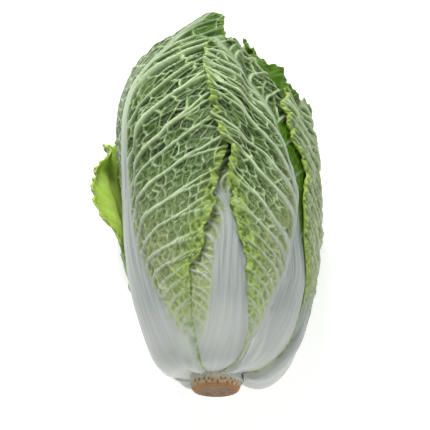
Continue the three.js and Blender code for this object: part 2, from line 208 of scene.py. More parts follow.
# ---- the head's own form --------------------------------------------------------------------------
@dataclass
class HeadForm:
    """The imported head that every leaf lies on."""

    outline: Knots = (
        (6.4, 17.4), (9.4, 17.3), (12.6, 17.7), (16, 28), (20, 35), (30, 43), (50, 51.5), (80, 59.5),
        (115, 64.5), (155, 66.5), (190, 66), (218, 61), (240, 51.5), (257, 40.5), (270, 29), (280, 17),
        (285.5, 7), (287, 0.4))  # distance along the axis, and radius
    bend: Curve = Curve(  # how far its middle strays to one side, along the axis
        ((0, 0), (16, 1.5), (35, 3), (75, 2), (150, 0), (225, -10.5), (260, -13), (300, -3)))
    squash: float = 0.93  # its height as a share of its width
    sag: float = 0.3  # how far its flanks hang out below the axis
    axis_height: float = 64.2
    fullness: float = 2.0  # how far the whole head swells past the outline
    lead: float = 8.1  # how much of the outline lies before b = 0
    middle_x: float = 0.0  # where the stem's middle and its cut face stand in the part's frame
    cut_y: float = 0.0
    table: np.ndarray = field(init=False)

    def __post_init__(self) -> None:
        """Works out the outline's points and directions at even steps along it."""
        knots = np.array(self.outline, dtype=float)
        last = len(knots) - 1
        places = np.linspace(0, last, 4001)
        i = np.minimum(places.astype(int), last - 1)
        t = (places - i)[:, None]
        before, after = knots[np.maximum(i - 1, 0)], knots[np.minimum(i + 2, last)]
        a, c = knots[i], knots[i + 1]
        v0, v1 = (c - before) / 2, (after - a) / 2
        points = (2 * a - 2 * c + v0 + v1) * t ** 3 + (-3 * a + 3 * c - 2 * v0 - v1) * t ** 2 + v0 * t + a
        steps = np.linalg.norm(np.diff(points, axis=0), axis=1)
        length = np.concatenate([[0.0], np.cumsum(steps)])
        even = np.linspace(0, length[-1], 2001)
        s, r = np.interp(even, length, points[:, 0]), np.interp(even, length, points[:, 1])
        along = np.stack([np.gradient(s, even), np.gradient(r, even)])
        along /= np.linalg.norm(along, axis=0)
        self.table = np.stack([even - self.lead, s, r, along[0], along[1]])

    @property
    def length(self) -> float:
        """The outline's length from the stem to the crown."""
        return float(self.table[0, -1])

    def radius(self, b: np.ndarray) -> np.ndarray:
        """The head's radius at b."""
        return np.interp(b, self.table[0], self.table[2])

    def place(self, b: np.ndarray, phi: np.ndarray, h: np.ndarray) -> np.ndarray:
        """Turns places on the head into points.

        Args:
            b: Distance from the stem along the outline.
            phi: Angle round the axis, in degrees.
            h: Height above the heart.

        Returns:
            One row of x, y and z for each place, in the part's frame.
        """
        s, r, along_s, along_r = (np.interp(b, self.table[0], row) for row in self.table[1:])
        h = h + self.fullness * smooth(0, 25, b)
        s, r = s - along_r * h, r + along_s * h
        rise = np.sin(np.radians(phi))
        rise = np.where(rise < 0, rise * (1 + self.sag * (1 - rise ** 2)), rise)
        x = self.bend(s) + r * np.cos(np.radians(phi))
        z = self.axis_height + self.squash * r * rise
        return np.stack([x + self.middle_x, s + self.cut_y, z], axis=-1)


class LeafStack:
    """How high the pieces laid so far reach above the heart, on a grid of 1 mm by 1 degree."""

    def __init__(self, form: HeadForm) -> None:
        """Starts with nothing laid.

        Args:
            form: The head that the pieces will lie on.
        """
        self.height = np.full((int(form.length) + 2, 360), -10.0)
        radius = np.maximum(form.radius(np.arange(len(self.height))), 4.0)
        self.cells_per_mm = np.degrees(1 / (radius + 6))

    def cover(self, b: np.ndarray, phi: np.ndarray, top: np.ndarray) -> None:
        """Raises the grid to a piece's outer points.

        Args:
            b: Their places along the head.
            phi: Their places round it.
            top: How high they stand above the heart.
        """
        i = np.clip(np.rint(b), 0, len(self.height) - 1).astype(int)
        j = np.rint(phi).astype(int) % 360
        layer = np.full(self.height.shape, -10.0)
        np.maximum.at(layer, (i, j), top)
        for axis in (0, 1):
            layer = np.maximum(layer, np.maximum(np.roll(layer, 1, axis), np.roll(layer, -1, axis)))
        layer[0], layer[-1] = layer[1], layer[-2]
        self.height = np.maximum(self.height, layer)

    def _window(self, values: np.ndarray, reach: float, highest: bool) -> np.ndarray:
        """Looks along the head and then round it from each cell.

        Args:
            values: The grid to look at.
            reach: How far to look, in millimetres.
            highest: Whether to take the highest value found, and not the mean.

        Returns:
            A grid of what was found.
        """
        n = int(reach)
        padded = np.pad(values, ((n, n), (0, 0)), mode="edge")
        views = np.stack([padded[k:k + len(values)] for k in range(2 * n + 1)])
        values = views.max(axis=0) if highest else views.mean(axis=0)
        cells = np.clip(np.rint(reach * self.cells_per_mm), 1, 60).astype(int)
        total, count = values.copy(), np.ones((len(values), 1))
        for k in range(1, int(cells.max()) + 1):
            near = (cells >= k)[:, None]
            left, right = np.roll(values, k, axis=1), np.roll(values, -k, axis=1)
            if highest:
                total = np.where(near, np.maximum(total, np.maximum(left, right)), total)
            else:
                total, count = np.where(near, total + left + right, total), count + 2 * near
        return total if highest else total / count

    def bed(self, drape: float) -> np.ndarray:
        """The surface a leaf comes to rest on.

        Args:
            drape: How far from a step the leaf begins to rise over it.

        Returns:
            A smooth grid that is nowhere below the pieces laid so far.
        """
        raised = self._window(np.maximum(self.height, -0.5), drape, True)
        return self._window(self._window(raised, drape / 2, False), drape / 2, False)

    def sample(self, grid: np.ndarray, b: np.ndarray, phi: np.ndarray) -> np.ndarray:
        """Reads a grid between its cells.

        Args:
            grid: The grid to read.
            b: The places along the head.
            phi: The places round it.

        Returns:
            The value at each place.
        """
        b = np.clip(b, 0, len(grid) - 1.001)
        i, j = np.floor(b).astype(int), np.floor(phi).astype(int)
        u, v = b - i, phi - j
        j0, j1 = j % 360, (j + 1) % 360
        return ((grid[i, j0] * (1 - v) + grid[i, j1] * v) * (1 - u)
                + (grid[i + 1, j0] * (1 - v) + grid[i + 1, j1] * v) * u)


# ---- shared mesh and node helpers -----------------------------------------------------------------
def corners(mesh: bpy.types.Mesh) -> np.ndarray:
    """Reads a mesh's vertices.

    Args:
        mesh: The mesh to read.

    Returns:
        One row of x, y and z for each vertex.
    """
    flat = np.empty(len(mesh.vertices) * 3)
    mesh.vertices.foreach_get("co", flat)
    return flat.reshape(-1, 3)


def move_corners(mesh: bpy.types.Mesh, millimetres: np.ndarray) -> None:
    """Puts a mesh's vertices at new places, given in millimetres."""
    mesh.vertices.foreach_set("co", (millimetres / 1000).ravel().astype(np.float32))
    mesh.update()


def paint(mesh: bpy.types.Mesh, name: str, values: np.ndarray) -> None:
    """Keeps values under a name that a material reads.

    Args:
        mesh: The mesh to keep them on.
        name: The name.
        values: One value, or one row of three, for each vertex.
    """
    kind = "FLOAT_VECTOR" if values.ndim == 2 else "FLOAT"
    layer = mesh.attributes.new(name, kind, "POINT")
    layer.data.foreach_set("vector" if values.ndim == 2 else "value", values.ravel().astype(np.float32))


def finished(name: str, mesh: bpy.types.Mesh, material: bpy.types.Material) -> bpy.types.Object:
    """Makes a smooth-shaded object at the origin from a mesh.

    Args:
        name: The object's name.
        mesh: Its mesh, already in the part's frame.
        material: Its finish.

    Returns:
        The object, linked to the scene.
    """
    mesh.shade_smooth()
    mesh.materials.append(material)
    piece = bpy.data.objects.new(name, mesh)
    bpy.context.scene.collection.objects.link(piece)
    return piece


class Nodes:
    """A material's node tree while it is being put together."""

    def __init__(self, name: str) -> None:
        """Starts a material with an empty tree.

        Args:
            name: The material's name.
        """
        self.material = bpy.data.materials.new(name)
        self.material.use_nodes = True
        self.tree = self.material.node_tree
        self.tree.nodes.clear()

    def add(self, kind: str, inputs: dict | None = None, out: str | int = 0,
            **settings: object) -> bpy.types.NodeSocket | None:
        """Adds a node.

        Args:
            kind: The node's type, without its ShaderNode prefix.
            inputs: A value, or the socket to link from, for each named or numbered input.
            out: The name or number of the output that is wanted.
            settings: The node's own properties.

        Returns:
            The socket of that output, if the node has any.
        """
        node = self.tree.nodes.new("ShaderNode" + kind)
        for key, value in settings.items():
            setattr(node, key, value)
        for key, value in (inputs or {}).items():
            if isinstance(value, bpy.types.NodeSocket):
                self.tree.links.new(value, node.inputs[key])
            else:
                node.inputs[key].default_value = value
        return node.outputs[out] if node.outputs else None


# Mix takes a share at 0 and two colours at 6 and 7. MapRange takes a value at 0 and moves it smoothly
# from the range at 1 and 2 to the range at 3 and 4. Math takes its two values at 0 and 1.
COLOURS = {"data_type": "RGBA"}
BLENDED = 2  # the output of Mix that gives a colour
SMOOTHLY = {"interpolation_type": "SMOOTHSTEP"}
TIMES = {"operation": "MULTIPLY"}
PLUS = {"operation": "ADD"}
THE_MORE = {"operation": "MAXIMUM"}


# ---- finishes -------------------------------------------------------------------------------------
@dataclass(frozen=True)
class NapaLeafSkin:
    """Raw napa cabbage leaf: crisp and wet inside, and dull outside.

    A pale sheen is painted on its ridges towards the top of the head, where the light falls. White
    ribs and pale veins stand over sunk blisters, whose deeper green floors and creases are painted
    darker still as shade. The free margins are yellow-green, the inner face is paler and painted
    brighter as light shining through the thin leaf, and the foot of the leaf is white.
    """

    name: str = "napa_leaf_skin_with_painted_sheen_and_shade"
    young_ridge: str = "#a3b07c"
    # the blister floors: a deeper green, painted darker still as shade
    young_pit_green_and_shade: str = "#627434"
    ridge: str = "#3c5c08"
    # the grown blister floors: a deeper green, painted darker still as shade
    pit_green_and_shade: str = "#142802"
    vein_young: str = "#b7bfaa"
    vein: str = "#c0d2a8"
    margin: str = "#92ab46"
    # the margin's creases: a deeper green, painted darker still as shade
    margin_pit_green_and_shade: str = "#456214"
    rib: str = "#a1a8a4"
    foot: str = "#b8bab4"
    rib_shade: str = "#8c938f"
    lush: str = "#497203"
    # the inner face: a paler yellow-green, painted brighter still as light shining through the thin leaf
    inner: str = "#b4cb58"
    # painted sheen: the pale colour laid on the ridges towards the top of the head, where the light falls
    painted_sheen: str = "#b4cf8a"
    sheen_strength: float = 0.21  # how far the painted sheen pales the green at most
    fine_cell: float = 2.4  # across the finest cells of the vein net, coarser than life (1 mm) so as to show
    gap_patch: float = 6.0  # across the patches in which that net fades
    tone_patch: float = 22.0  # across the patches of deeper and paler green
    fibre: float = 2.2  # between the strands that show in a rib
    fibre_length: float = 60.0

    def material(self) -> bpy.types.Material:
        """Puts the leaf's skin together from the values painted on its mesh.

        Returns:
            The finished material.
        """
        n = Nodes(self.name)
        place = n.add("Attribute", out="Vector", attribute_name="place")
        # sunk sets where shade is painted, and the last value where the pale sheen is painted
        vein, sunk, green, margin, rib, lush, inside, fold, painted_sheen = (
            n.add("Attribute", out="Fac", attribute_name=name)
            for name in ("vein", "sunk", "green", "margin", "rib", "lush", "inside", "fold", "painted_sheen"))
        walls = n.add("TexVoronoi", {"Vector": place, "Scale": 1000 / self.fine_cell, "Randomness": 0.9},
                      "Distance", feature="DISTANCE_TO_EDGE", voronoi_dimensions="2D")
        walls = n.add("MapRange", {0: walls, 1: 0.02, 2: 0.2, 3: 1.0, 4: 0.0}, **SMOOTHLY)
        gaps = n.add("TexNoise", {"Vector": place, "Scale": 1000 / self.gap_patch, "Detail": 2.0}, "Fac")
        gaps = n.add("MapRange", {0: gaps, 1: 0.35, 2: 0.65, 3: 0.25, 4: 1.0}, **SMOOTHLY)
        off_rib = n.add("Math", {0: 1.0, 1: rib}, operation="SUBTRACT")
        net = n.add("Math", {0: n.add("Math", {0: walls, 1: gaps}, **TIMES), 1: off_rib}, **TIMES)
        patches = n.add("TexNoise", {"Vector": place, "Scale": 1000 / self.tone_patch, "Detail": 3.0,
                                     "Roughness": 0.6}, "Fac")
        along = n.add("Mapping", {"Vector": place,
                                  "Scale": (1000 / self.fibre, 1000 / self.fibre_length, 1.0)}, "Vector")
        strands = n.add("TexNoise", {"Vector": along, "Scale": 1.0, "Detail": 2.0, "Roughness": 0.55}, "Fac")

        # the blade: ridges and sunk pits, which deepen from the stem to the tip; the pits' floors are painted
        # darker, as shade
        ridge, pit_green_and_shade, pale = (
            n.add("Mix", {0: green, 6: linear(young), 7: linear(grown)}, BLENDED, **COLOURS)
            for young, grown in ((self.young_ridge, self.ridge), (self.young_pit_green_and_shade, self.pit_green_and_shade),
                                 (self.vein_young, self.vein)))
        in_pit = n.add("Math", {0: net, 1: 0.25}, **TIMES)
        on_ridge = n.add("Math", {0: net, 1: 0.15}, **TIMES)
        pit_green_and_shade = n.add("Mix", {0: in_pit, 6: pit_green_and_shade, 7: ridge}, BLENDED, **COLOURS)
        ridge = n.add("Mix", {0: on_ridge, 6: ridge, 7: pale}, BLENDED, **COLOURS)
        tone = n.add("MapRange", {0: patches, 1: 0.25, 2: 0.75, 3: 0.95, 4: 1.25}, **SMOOTHLY)
        # painted shade: how far the blade is painted towards the pits' dark colour, varied by patches of
        # deeper and paler green
        depth = n.add("Math", {0: sunk, 1: tone}, **TIMES)
        blade = n.add("Mix", {0: depth, 6: ridge, 7: pit_green_and_shade}, BLENDED, **COLOURS)

        # the yellow-green free margin, with shade painted in its creases, and the thin, deep green parts
        fringe = n.add("Mix", {0: sunk, 6: linear(self.margin), 7: linear(self.margin_pit_green_and_shade)},
                       BLENDED, **COLOURS)
        fold = n.add("Math", {0: fold, 1: 0.8}, **TIMES)
        fringed = n.add("Math", {0: margin, 1: fold}, **THE_MORE)
        blade = n.add("Mix", {0: fringed, 6: blade, 7: fringe}, BLENDED, **COLOURS)
        # painted shade: the thin, deep green parts are painted darker where they are sunk
        deep = n.add("Mix", {0: 0.45, 6: linear(self.lush), 7: linear(self.pit_green_and_shade)}, BLENDED, **COLOURS)
        deep = n.add("Mix", {0: depth, 6: linear(self.lush), 7: deep}, BLENDED, **COLOURS)
        lit_edge = n.add("Math", {0: margin, 1: 0.5}, **TIMES)
        deep = n.add("Mix", {0: lit_edge, 6: deep, 7: linear(self.margin)}, BLENDED, **COLOURS)
        blade = n.add("Mix", {0: lush, 6: blade, 7: deep}, BLENDED, **COLOURS)

        # veins, white ribs with their strands, and the painted sheen over it all, which fades into the pits
        # and off the thin green parts
        faint = n.add("MapRange", {0: lush, 1: 0.0, 2: 1.0, 3: 1.0, 4: 0.35}, **SMOOTHLY)
        vein = n.add("Math", {0: vein, 1: faint}, **TIMES)
        blade = n.add("Mix", {0: vein, 6: blade, 7: pale}, BLENDED, **COLOURS)
        shaded = n.add("MapRange", {0: strands, 1: 0.35, 2: 0.68}, **SMOOTHLY)
        fibres = n.add("Mix", {0: shaded, 6: linear(self.rib), 7: linear(self.rib_shade)}, BLENDED, **COLOURS)
        white = n.add("MapRange", {0: green, 1: 0.0, 2: 0.12, 3: 0.6, 4: 0.0}, **SMOOTHLY)
        fibres = n.add("Mix", {0: white, 6: fibres, 7: linear(self.foot)}, BLENDED, **COLOURS)
        skin = n.add("Mix", {0: rib, 6: blade, 7: fibres}, BLENDED, **COLOURS)
        # the painted sheen's share at each place
        sheen_on_ridges = n.add("MapRange", {0: depth, 1: 0.0, 2: 0.8, 3: self.sheen_strength, 4: 0.0}, **SMOOTHLY)
        sheen_off_lush = n.add("MapRange", {0: lush, 1: 0.0, 2: 1.0, 3: 1.0, 4: 0.1}, **SMOOTHLY)
        sheen_share = n.add("Math", {0: n.add("Math", {0: painted_sheen, 1: sheen_on_ridges}, **TIMES), 1: sheen_off_lush}, **TIMES)
        skin = n.add("Mix", {0: sheen_share, 6: skin, 7: linear(self.painted_sheen)}, BLENDED, **COLOURS)

        # the inner face, which is paler, has no painted sheen, and is painted brighter as light shining
        # through the leaf
        netted = n.add("Math", {0: net, 1: 0.35}, **TIMES)
        lining = n.add("Mix", {0: netted, 6: linear(self.inner), 7: pale}, BLENDED, **COLOURS)
        lining = n.add("Mix", {0: green, 6: linear(self.young_ridge), 7: lining}, BLENDED, **COLOURS)
        skin = n.add("Mix", {0: inside, 6: skin, 7: lining}, BLENDED, **COLOURS)

        raised_net, cords = (n.add("Math", {0: relief, 1: height}, **TIMES)
                             for relief, height in ((net, 0.5), (strands, 0.3)))
        bump = n.add("Bump", {"Height": n.add("Math", {0: raised_net, 1: cords}, **PLUS),
                              "Strength": 0.5, "Distance": 0.0006})
        dull = n.add("MapRange", {0: depth, 1: 0.0, 2: 1.0, 3: 0.36, 4: 0.62}, **SMOOTHLY)
        uneven = n.add("MapRange", {0: patches, 1: 0.2, 2: 0.8, 3: -0.04, 4: 0.06}, **SMOOTHLY)
        watery = n.add("MapRange", {0: rib, 1: 0.0, 2: 1.0, 3: 0.1, 4: 0.35}, **SMOOTHLY)
        shader = n.add("BsdfPrincipled", {
            "Base Color": skin, "Roughness": n.add("Math", {0: dull, 1: uneven}, **PLUS), "Normal": bump,
            "IOR": 1.42, "Specular IOR Level": 0.3,
            "Subsurface Weight": n.add("Math", {0: watery, 1: inside}, **THE_MORE),
            "Subsurface Radius": (0.8, 1.0, 0.35), "Subsurface Scale": 0.002})
        n.add("OutputMaterial", {"Surface": shader})
        return n.material


@dataclass(frozen=True)
class CutStemFlesh:
    """The core, cut with a knife and left to dry. The wet flesh browns, most of all at its rim."""

    name: str = "cut_stem_browned_flesh"
    flesh: str = "#86684a"
    middle: str = "#5d4a3b"
    rim: str = "#8a5f33"
    side: str = "#b39c78"
    scar: str = "#57402c"
    # painted light: the side is paler towards the leaves' feet, to lift the shade under them
    pale: str = "#b8b4a2"
    mottle: float = 5.0  # across the browned patches
    pore: float = 1.1  # between the flesh's pores, coarser than life (0.3 mm) so as to show

    def material(self) -> bpy.types.Material:
        """Puts the stem's flesh together from the values painted on its mesh.

        Returns:
            The finished material.
        """
        n = Nodes(self.name)
        place = n.add("TexCoord", out="Object")
        mottle = n.add("TexNoise", {"Vector": place, "Scale": 1000 / self.mottle, "Detail": 5.0,
                                    "Roughness": 0.65}, "Fac")
        pores = n.add("TexVoronoi", {"Vector": place, "Scale": 1000 / self.pore}, "Distance",
                      voronoi_dimensions="3D")
        cut, rim, scar, top = (n.add("Attribute", out="Fac", attribute_name=name)
                               for name in ("cut", "rim", "scar", "pale"))
        browned = n.add("MapRange", {0: mottle, 1: 0.3, 2: 0.7}, **SMOOTHLY)
        face = n.add("Mix", {0: browned, 6: linear(self.flesh), 7: linear(self.middle)}, BLENDED, **COLOURS)
        holes = n.add("MapRange", {0: pores, 1: 0.1, 2: 0.5, 3: 0.25, 4: 0.0}, **SMOOTHLY)
        face = n.add("Mix", {0: holes, 6: face, 7: linear(self.scar)}, BLENDED, **COLOURS)
        stained = n.add("MapRange", {0: mottle, 1: 0.45, 2: 0.85}, **SMOOTHLY)
        side = n.add("Mix", {0: stained, 6: linear(self.side), 7: linear(self.rim)}, BLENDED, **COLOURS)
        # painted light on the side by the leaves' feet
        side = n.add("Mix", {0: top, 6: side, 7: linear(self.pale)}, BLENDED, **COLOURS)
        body = n.add("Mix", {0: cut, 6: side, 7: face}, BLENDED, **COLOURS)
        patchy = n.add("MapRange", {0: mottle, 1: 0.2, 2: 0.7, 3: 0.6, 4: 1.0}, **SMOOTHLY)
        dried = n.add("Math", {0: rim, 1: patchy}, **TIMES)
        body = n.add("Mix", {0: dried, 6: body, 7: linear(self.rim)}, BLENDED, **COLOURS)
        body = n.add("Mix", {0: scar, 6: body, 7: linear(self.scar)}, BLENDED, **COLOURS)
        pitted = n.add("Math", {0: pores, 1: 0.4}, **TIMES)
        bump = n.add("Bump", {"Height": n.add("Math", {0: mottle, 1: pitted}, **PLUS),
                              "Strength": 0.6, "Distance": 0.0006})
        shader = n.add("BsdfPrincipled", {"Base Color": body, "Roughness": 0.72, "Normal": bump, "IOR": 1.4})
        n.add("OutputMaterial", {"Surface": shader})
        return n.material


@dataclass(frozen=True)
class StudioBoard:
    """Milky acrylic, lit from below as a product table is, so that only faint shade shows on it."""

    name: str = "lit_acrylic_table"
    colour: str = "#f8f8f7"
    glow: float = 0.4

    def material(self) -> bpy.types.Material:
        """Puts the board's surface together.

        Returns:
            The finished material.
        """
        n = Nodes(self.name)
        paint_colour = linear(self.colour)
        shader = n.add("BsdfPrincipled", {"Base Color": paint_colour, "Roughness": 0.9,
                                          "Emission Color": paint_colour, "Emission Strength": self.glow})
        n.add("OutputMaterial", {"Surface": shader})
        return n.material


# ---- leaves ---------------------------------------------------------------------------------------
@dataclass
class LeafSide:
    """One half of a blade, from its petiole to its free margin."""

    edge: Curve  # the margin's angle by b
    columns: int  # how finely the mesh divides it
    flare: Curve = LEVEL  # how far the margin stands off the head, by b
    lush: Curve = LEVEL  # how much of the thin, deep green blade shows, by b
    lush_from: Curve = LEVEL  # the share of the way across at which it begins
    veins: VeinPaths = ()  # where each leaves the midrib, how far on it ends, its sweep and, maybe, its size
    bold: float = 1.0  # how wide its veins are
    relief: float = 1.0  # how strongly its veins and blisters stand up

    def vein_paths(self, step: float, tip: float, rise: Curve, seed: float) -> VeinPaths:
        """The paths of the side veins: the given ones, or ones at even steps.

        Args:
            step: The usual distance between two of them.
            tip: Where the leaf ends.
            rise: How far on a vein ends, by where it leaves the midrib.
            seed: Gives another scatter.

        Returns:
            The paths from the stem to the tip.
        """
        if self.veins:
            return self.veins
        even = np.arange(14.0, tip - 4, step)
        even = even + step * 0.35 * (chance(even, np.full(even.shape, 2.0), seed) - 0.5)
        return tuple((float(root), float(rise(root)), 0.7) for root in even)


class Slot(Enum):
    """A name for the kind of finish a leaf has. Nothing reads it: every leaf wears the skin that it is given.
    """

    LEAF = "leaf"
    OUTER_LEAF = "outer_leaf"


@dataclass
class Sheet:
    """Where each point of a leaf is, both on the leaf and on the head. Lengths are millimetres."""

    outer: np.ndarray  # whether the point is on the outer face
    upper: np.ndarray  # whether it is on the high side
    side: np.ndarray  # 1 on the high side and -1 on the low one
    share: np.ndarray  # place across the midrib, from 1 at its high edge to -1 at its low one
    a: np.ndarray  # share of the way across the blade, 0 on the midrib
    root: np.ndarray  # where the point's row leaves the midrib
    x: np.ndarray  # distance across the leaf from the middle of its midrib
    width: np.ndarray  # width of the half blade
    radius: np.ndarray  # the head's radius there
    b: np.ndarray  # distance from the stem along the head's outline
    phi: np.ndarray  # angle round the head
    on_blade: np.ndarray = field(init=False)  # whether the point is off the midrib
    inward: np.ndarray = field(init=False)  # distance from the midrib's edge
    to_edge: np.ndarray = field(init=False)  # distance in from the free margin
    grown: np.ndarray = field(init=False)  # how far the relief has grown from the stem

    def __post_init__(self) -> None:
        """Works out what follows from the rest."""
        self.on_blade = self.a > 0
        self.inward = self.a * self.width
        self.to_edge = (1 - self.a) * self.width
        self.grown = smooth(*RELIEF_GROWS, self.root)


@dataclass
class SideVeins:
    """What the side veins of a leaf make of each of its points."""

    strength: np.ndarray  # how strongly a vein shows
    flank: np.ndarray  # how far the nearest vein's flank is
    band: np.ndarray  # the number of the band between two veins
    bulge: np.ndarray  # how far the blade swells on the tip's side of a vein


@dataclass
class Relief:
    """What stands up and what is sunk on a leaf, from 0 to 1 at each of its points."""

    veins: SideVeins
    coarse: np.ndarray  # how near the point is to a strand of the net
    fine: np.ndarray  # how near it is to a strand of the small net inside that
    own: np.ndarray  # a number that is the cell's own
    tiny: np.ndarray  # the same for the small cell
    floor: np.ndarray  # how far the point is down on a blister's floor
    open_blade: np.ndarray  # how clear it is of the midrib
    mature: np.ndarray  # how full-grown the blade is there
    bold: np.ndarray  # how strongly its blisters and veins stand out
    crumple: np.ndarray  # how crumpled it is towards its margin
    puckered: np.ndarray  # how puckered it is, there and near its foot
    creased: np.ndarray  # the creases of both, from below 0 to above 1


@dataclass
class CabbageLeaf:
    """One leaf: a thick white petiole and midrib, with a netted and frilled blade on each side."""

    name: str
    node: str  # the CAD node that it replaces
    tip: float  # where it ends, by distance along its midrib
    midrib: Curve  # its angle by b
    low: LeafSide
    high: LeafSide
    petiole: Curve  # half width, by distance along the midrib
    thick: Curve  # thickness of the petiole and midrib, by the same
    lag: Curve  # how much further along a side vein meets the margin than it leaves the midrib
    rows: int  # how finely the mesh divides its length
    rib_columns: int = 12  # and its midrib
    seed: float = 1.0  # gives each leaf a scatter of its own
    slot: Slot = Slot.LEAF
    start: float = -7.7  # where it begins, in at the stem
    clearance: float = 0.45  # between it and what it lies on
    drape: float = 5.0  # how far from a step under it the leaf begins to rise
    snug: float = 1.5  # the same at its foot, which is pressed tight
    loosens: Span = (40, 90)  # the stretch over which it passes from the one to the other
    tuck: float = 1.3  # how far the foot's margins are pressed in
    blade: float = 0.8  # the blade's thickness
    margin_thickness: float = 0.5
    least_height: float = 0.8  # the inner face stays this far above the table
    margin_band: float = 7.0  # how wide the yellow-green margin is
    vein_step: float = 13.0  # between the side veins where they leave the midrib
    vein_width: float = 2.5
    vein_height: float = 1.5
    net_cell: float = 6.4  # across a cell of the net between them
    net_height: float = 0.5
    small_cell: float = 2.9  # across a cell of the small net inside that
    small_height: float = 0.2
    blister_depth: float = 1.7
    bulge: float = 1.5  # how far the blade swells on the tip's side of each side vein
    crumple: float = 0.8  # how high the creases of the margin stand
    crumple_band: float = 18.0
    cord_gap: float = 5.4  # between the cords that run along the petiole
    cord_height: float = 0.3
    white_foot: float = 20.0  # how far from the stem the blade is as white as the rib
    stand: Curve = LEVEL  # how far the tip stands off the head, by distance along the midrib
    frilled_from: float = 20.0
    frill_grows: float = 55.0  # over how far the frill comes in from there
    frill: float = 2.2  # how high the margin's long waves rise
    frill_length: float = 15.0
    frill_band: float = 22.0
    crinkle: float = 1.2  # how high its short waves rise
    crinkle_length: float = 4.6
    crinkle_band: float = 9.0
    tip_band: float = 20.0  # how much of the leaf the rippled tip takes up
    tip_ripple: float = 1.6
    matures: Span = (100, 215)  # the stretch over which the blade comes to its full size
    green_from: float = 10.0
    green_to: float = 185.0
    rib_fades: float = 110.0  # how far from the stem the midrib begins to turn green

    def build(self, form: HeadForm, stack: LeafStack, skin: bpy.types.Material) -> bpy.types.Object:
        """Makes the leaf, lays it on the stack and dresses it.

        Args:
            form: The head that it lies on.
            stack: The pieces laid so far, which the leaf is added to.
            skin: Its finish.

        Returns:
            The leaf's object.
        """
        mesh = self._flat_sheet()
        p = self._spread(form, corners(mesh))
        h, values = self._lay(stack, p)
        points = form.place(p.b, p.phi, h)
        points[:, 2] = np.maximum(points[:, 2], np.where(p.outer, 0.0, self.least_height))
        move_corners(mesh, points)
        for name, value in values.items():
            paint(mesh, name, value)
        stack.cover(p.b[p.outer], p.phi[p.outer], h[p.outer])
        piece = finished(self.name, mesh, skin)
        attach(piece, "root")
        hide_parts(self.node)
        return piece

    @property
    def across(self) -> int:
        """How many columns the mesh has from margin to margin."""
        return self.low.columns + self.high.columns + 2 * self.rib_columns

    def _flat_sheet(self) -> bpy.types.Mesh:
        """Makes a flat closed sheet: a fine outer grid, a coarser inner one, and a rim between them.

        Returns:
            The mesh, from -1 to 1 along each axis.
        """
        sheet = bmesh.new()
        bmesh.ops.create_grid(sheet, x_segments=self.across, y_segments=self.rows, size=1.0,
                              matrix=Matrix.Translation((0, 0, 1)))
        inner = bmesh.ops.create_grid(sheet, x_segments=self.across // 2, y_segments=self.rows // 2, size=1.0,
                                      matrix=Matrix.Translation((0, 0, -1)))
        lining = set(inner["verts"])
        bmesh.ops.reverse_faces(sheet, faces=[f for f in sheet.faces if f.verts[0] in lining])
        bmesh.ops.bridge_loops(sheet, edges=[e for e in sheet.edges if e.is_boundary])
        mesh = bpy.data.meshes.new(self.name)
        sheet.to_mesh(mesh)
        sheet.free()
        return mesh

    def _spread(self, form: HeadForm, flat: np.ndarray) -> Sheet:
        """Spreads the flat sheet round the head, with its margins still plain.

        Args:
            form: The head that the leaf lies on.
            flat: The sheet's points, from -1 to 1 along each axis.

        Returns:
            Where each point is.
        """
        j = (flat[:, 0] + 1) / 2 * self.across
        from_high = 1 - j / self.high.columns
        from_low = (j - self.across + self.low.columns) / self.low.columns
        a = np.clip(np.maximum(from_high, from_low), 0, 1)
        share = np.clip(1 - (j - self.high.columns) / self.rib_columns, -1, 1)
        upper = share >= 0
        side = np.where(upper, 1.0, -1.0)
        root = self.start + (self.tip - self.start) * ((flat[:, 1] + 1) / 2)
        b = root + self.lag(root) * a ** 0.8
        radius = np.maximum(form.radius(b), 34) + 5
        half_rib = self.petiole(root)
        at_rib = self.midrib(b) + np.degrees(share * half_rib / (radius - 5))
        margin_phi = np.where(upper, self.high.edge(b), self.low.edge(b))
        width = np.radians(np.abs(margin_phi - at_rib)) * radius
        x = np.where(a > 0, side * (half_rib + a * width), share * half_rib)
        return Sheet(outer=flat[:, 2] > 0, upper=upper, side=side, share=share, a=a, root=root, x=x,
                     width=width, radius=radius, b=b, phi=at_rib + (margin_phi - at_rib) * a)

    def _either(self, p: Sheet, of: Callable[[LeafSide], np.ndarray | float]) -> np.ndarray:
        """Asks the half of the blade that each point is on.

        Args:
            p: The leaf's points.
            of: What to ask a half of the blade for.

        Returns:
            The answer for each point.
        """
        return np.where(p.upper, of(self.high), of(self.low))

    def _lay(self, stack: LeafStack, p: Sheet) -> tuple[np.ndarray, dict[str, np.ndarray]]:
        """Waves the sheet's margins, and lays it on what is already under it.

        Args:
            stack: The pieces laid so far.
            p: The leaf's points. Their b and phi are moved to where the waves take them.

        Returns:
            h for each point, and the painted values by name.
        """
        lift = self._wave(p)
        relief_share = self._either(p, lambda half: half.relief)
        flare = self._either(p, lambda half: half.flare(p.b)) * smooth(0.1, 1, p.a)
        curl = (self._near_tip(p) ** 1.5
                + self.stand(p.root) * np.where(p.upper, 1 - smooth(0.2, 0.7, p.a), 1.0))
        swell = (0.4 * (1 + wander(p.b / 36, p.phi / 28 + p.side, self.seed)) * p.grown
                 * smooth(0, 0.15, p.a) * relief_share)
        bottom = self._bed(stack, p) + lift + flare + curl + swell
        thin_from = self._either(p, lambda half: half.lush_from(p.b))
        thin = self._either(p, lambda half: half.lush(p.b)) * smooth(thin_from, thin_from + 0.12, p.a)
        made = self._relief(p, thin)
        relief = self._height(p, made) * np.where(p.on_blade, relief_share, 1.0)
        h = np.where(p.outer, bottom + self._thickness(p) + relief, bottom)
        return h, self._tones(p, made, thin)

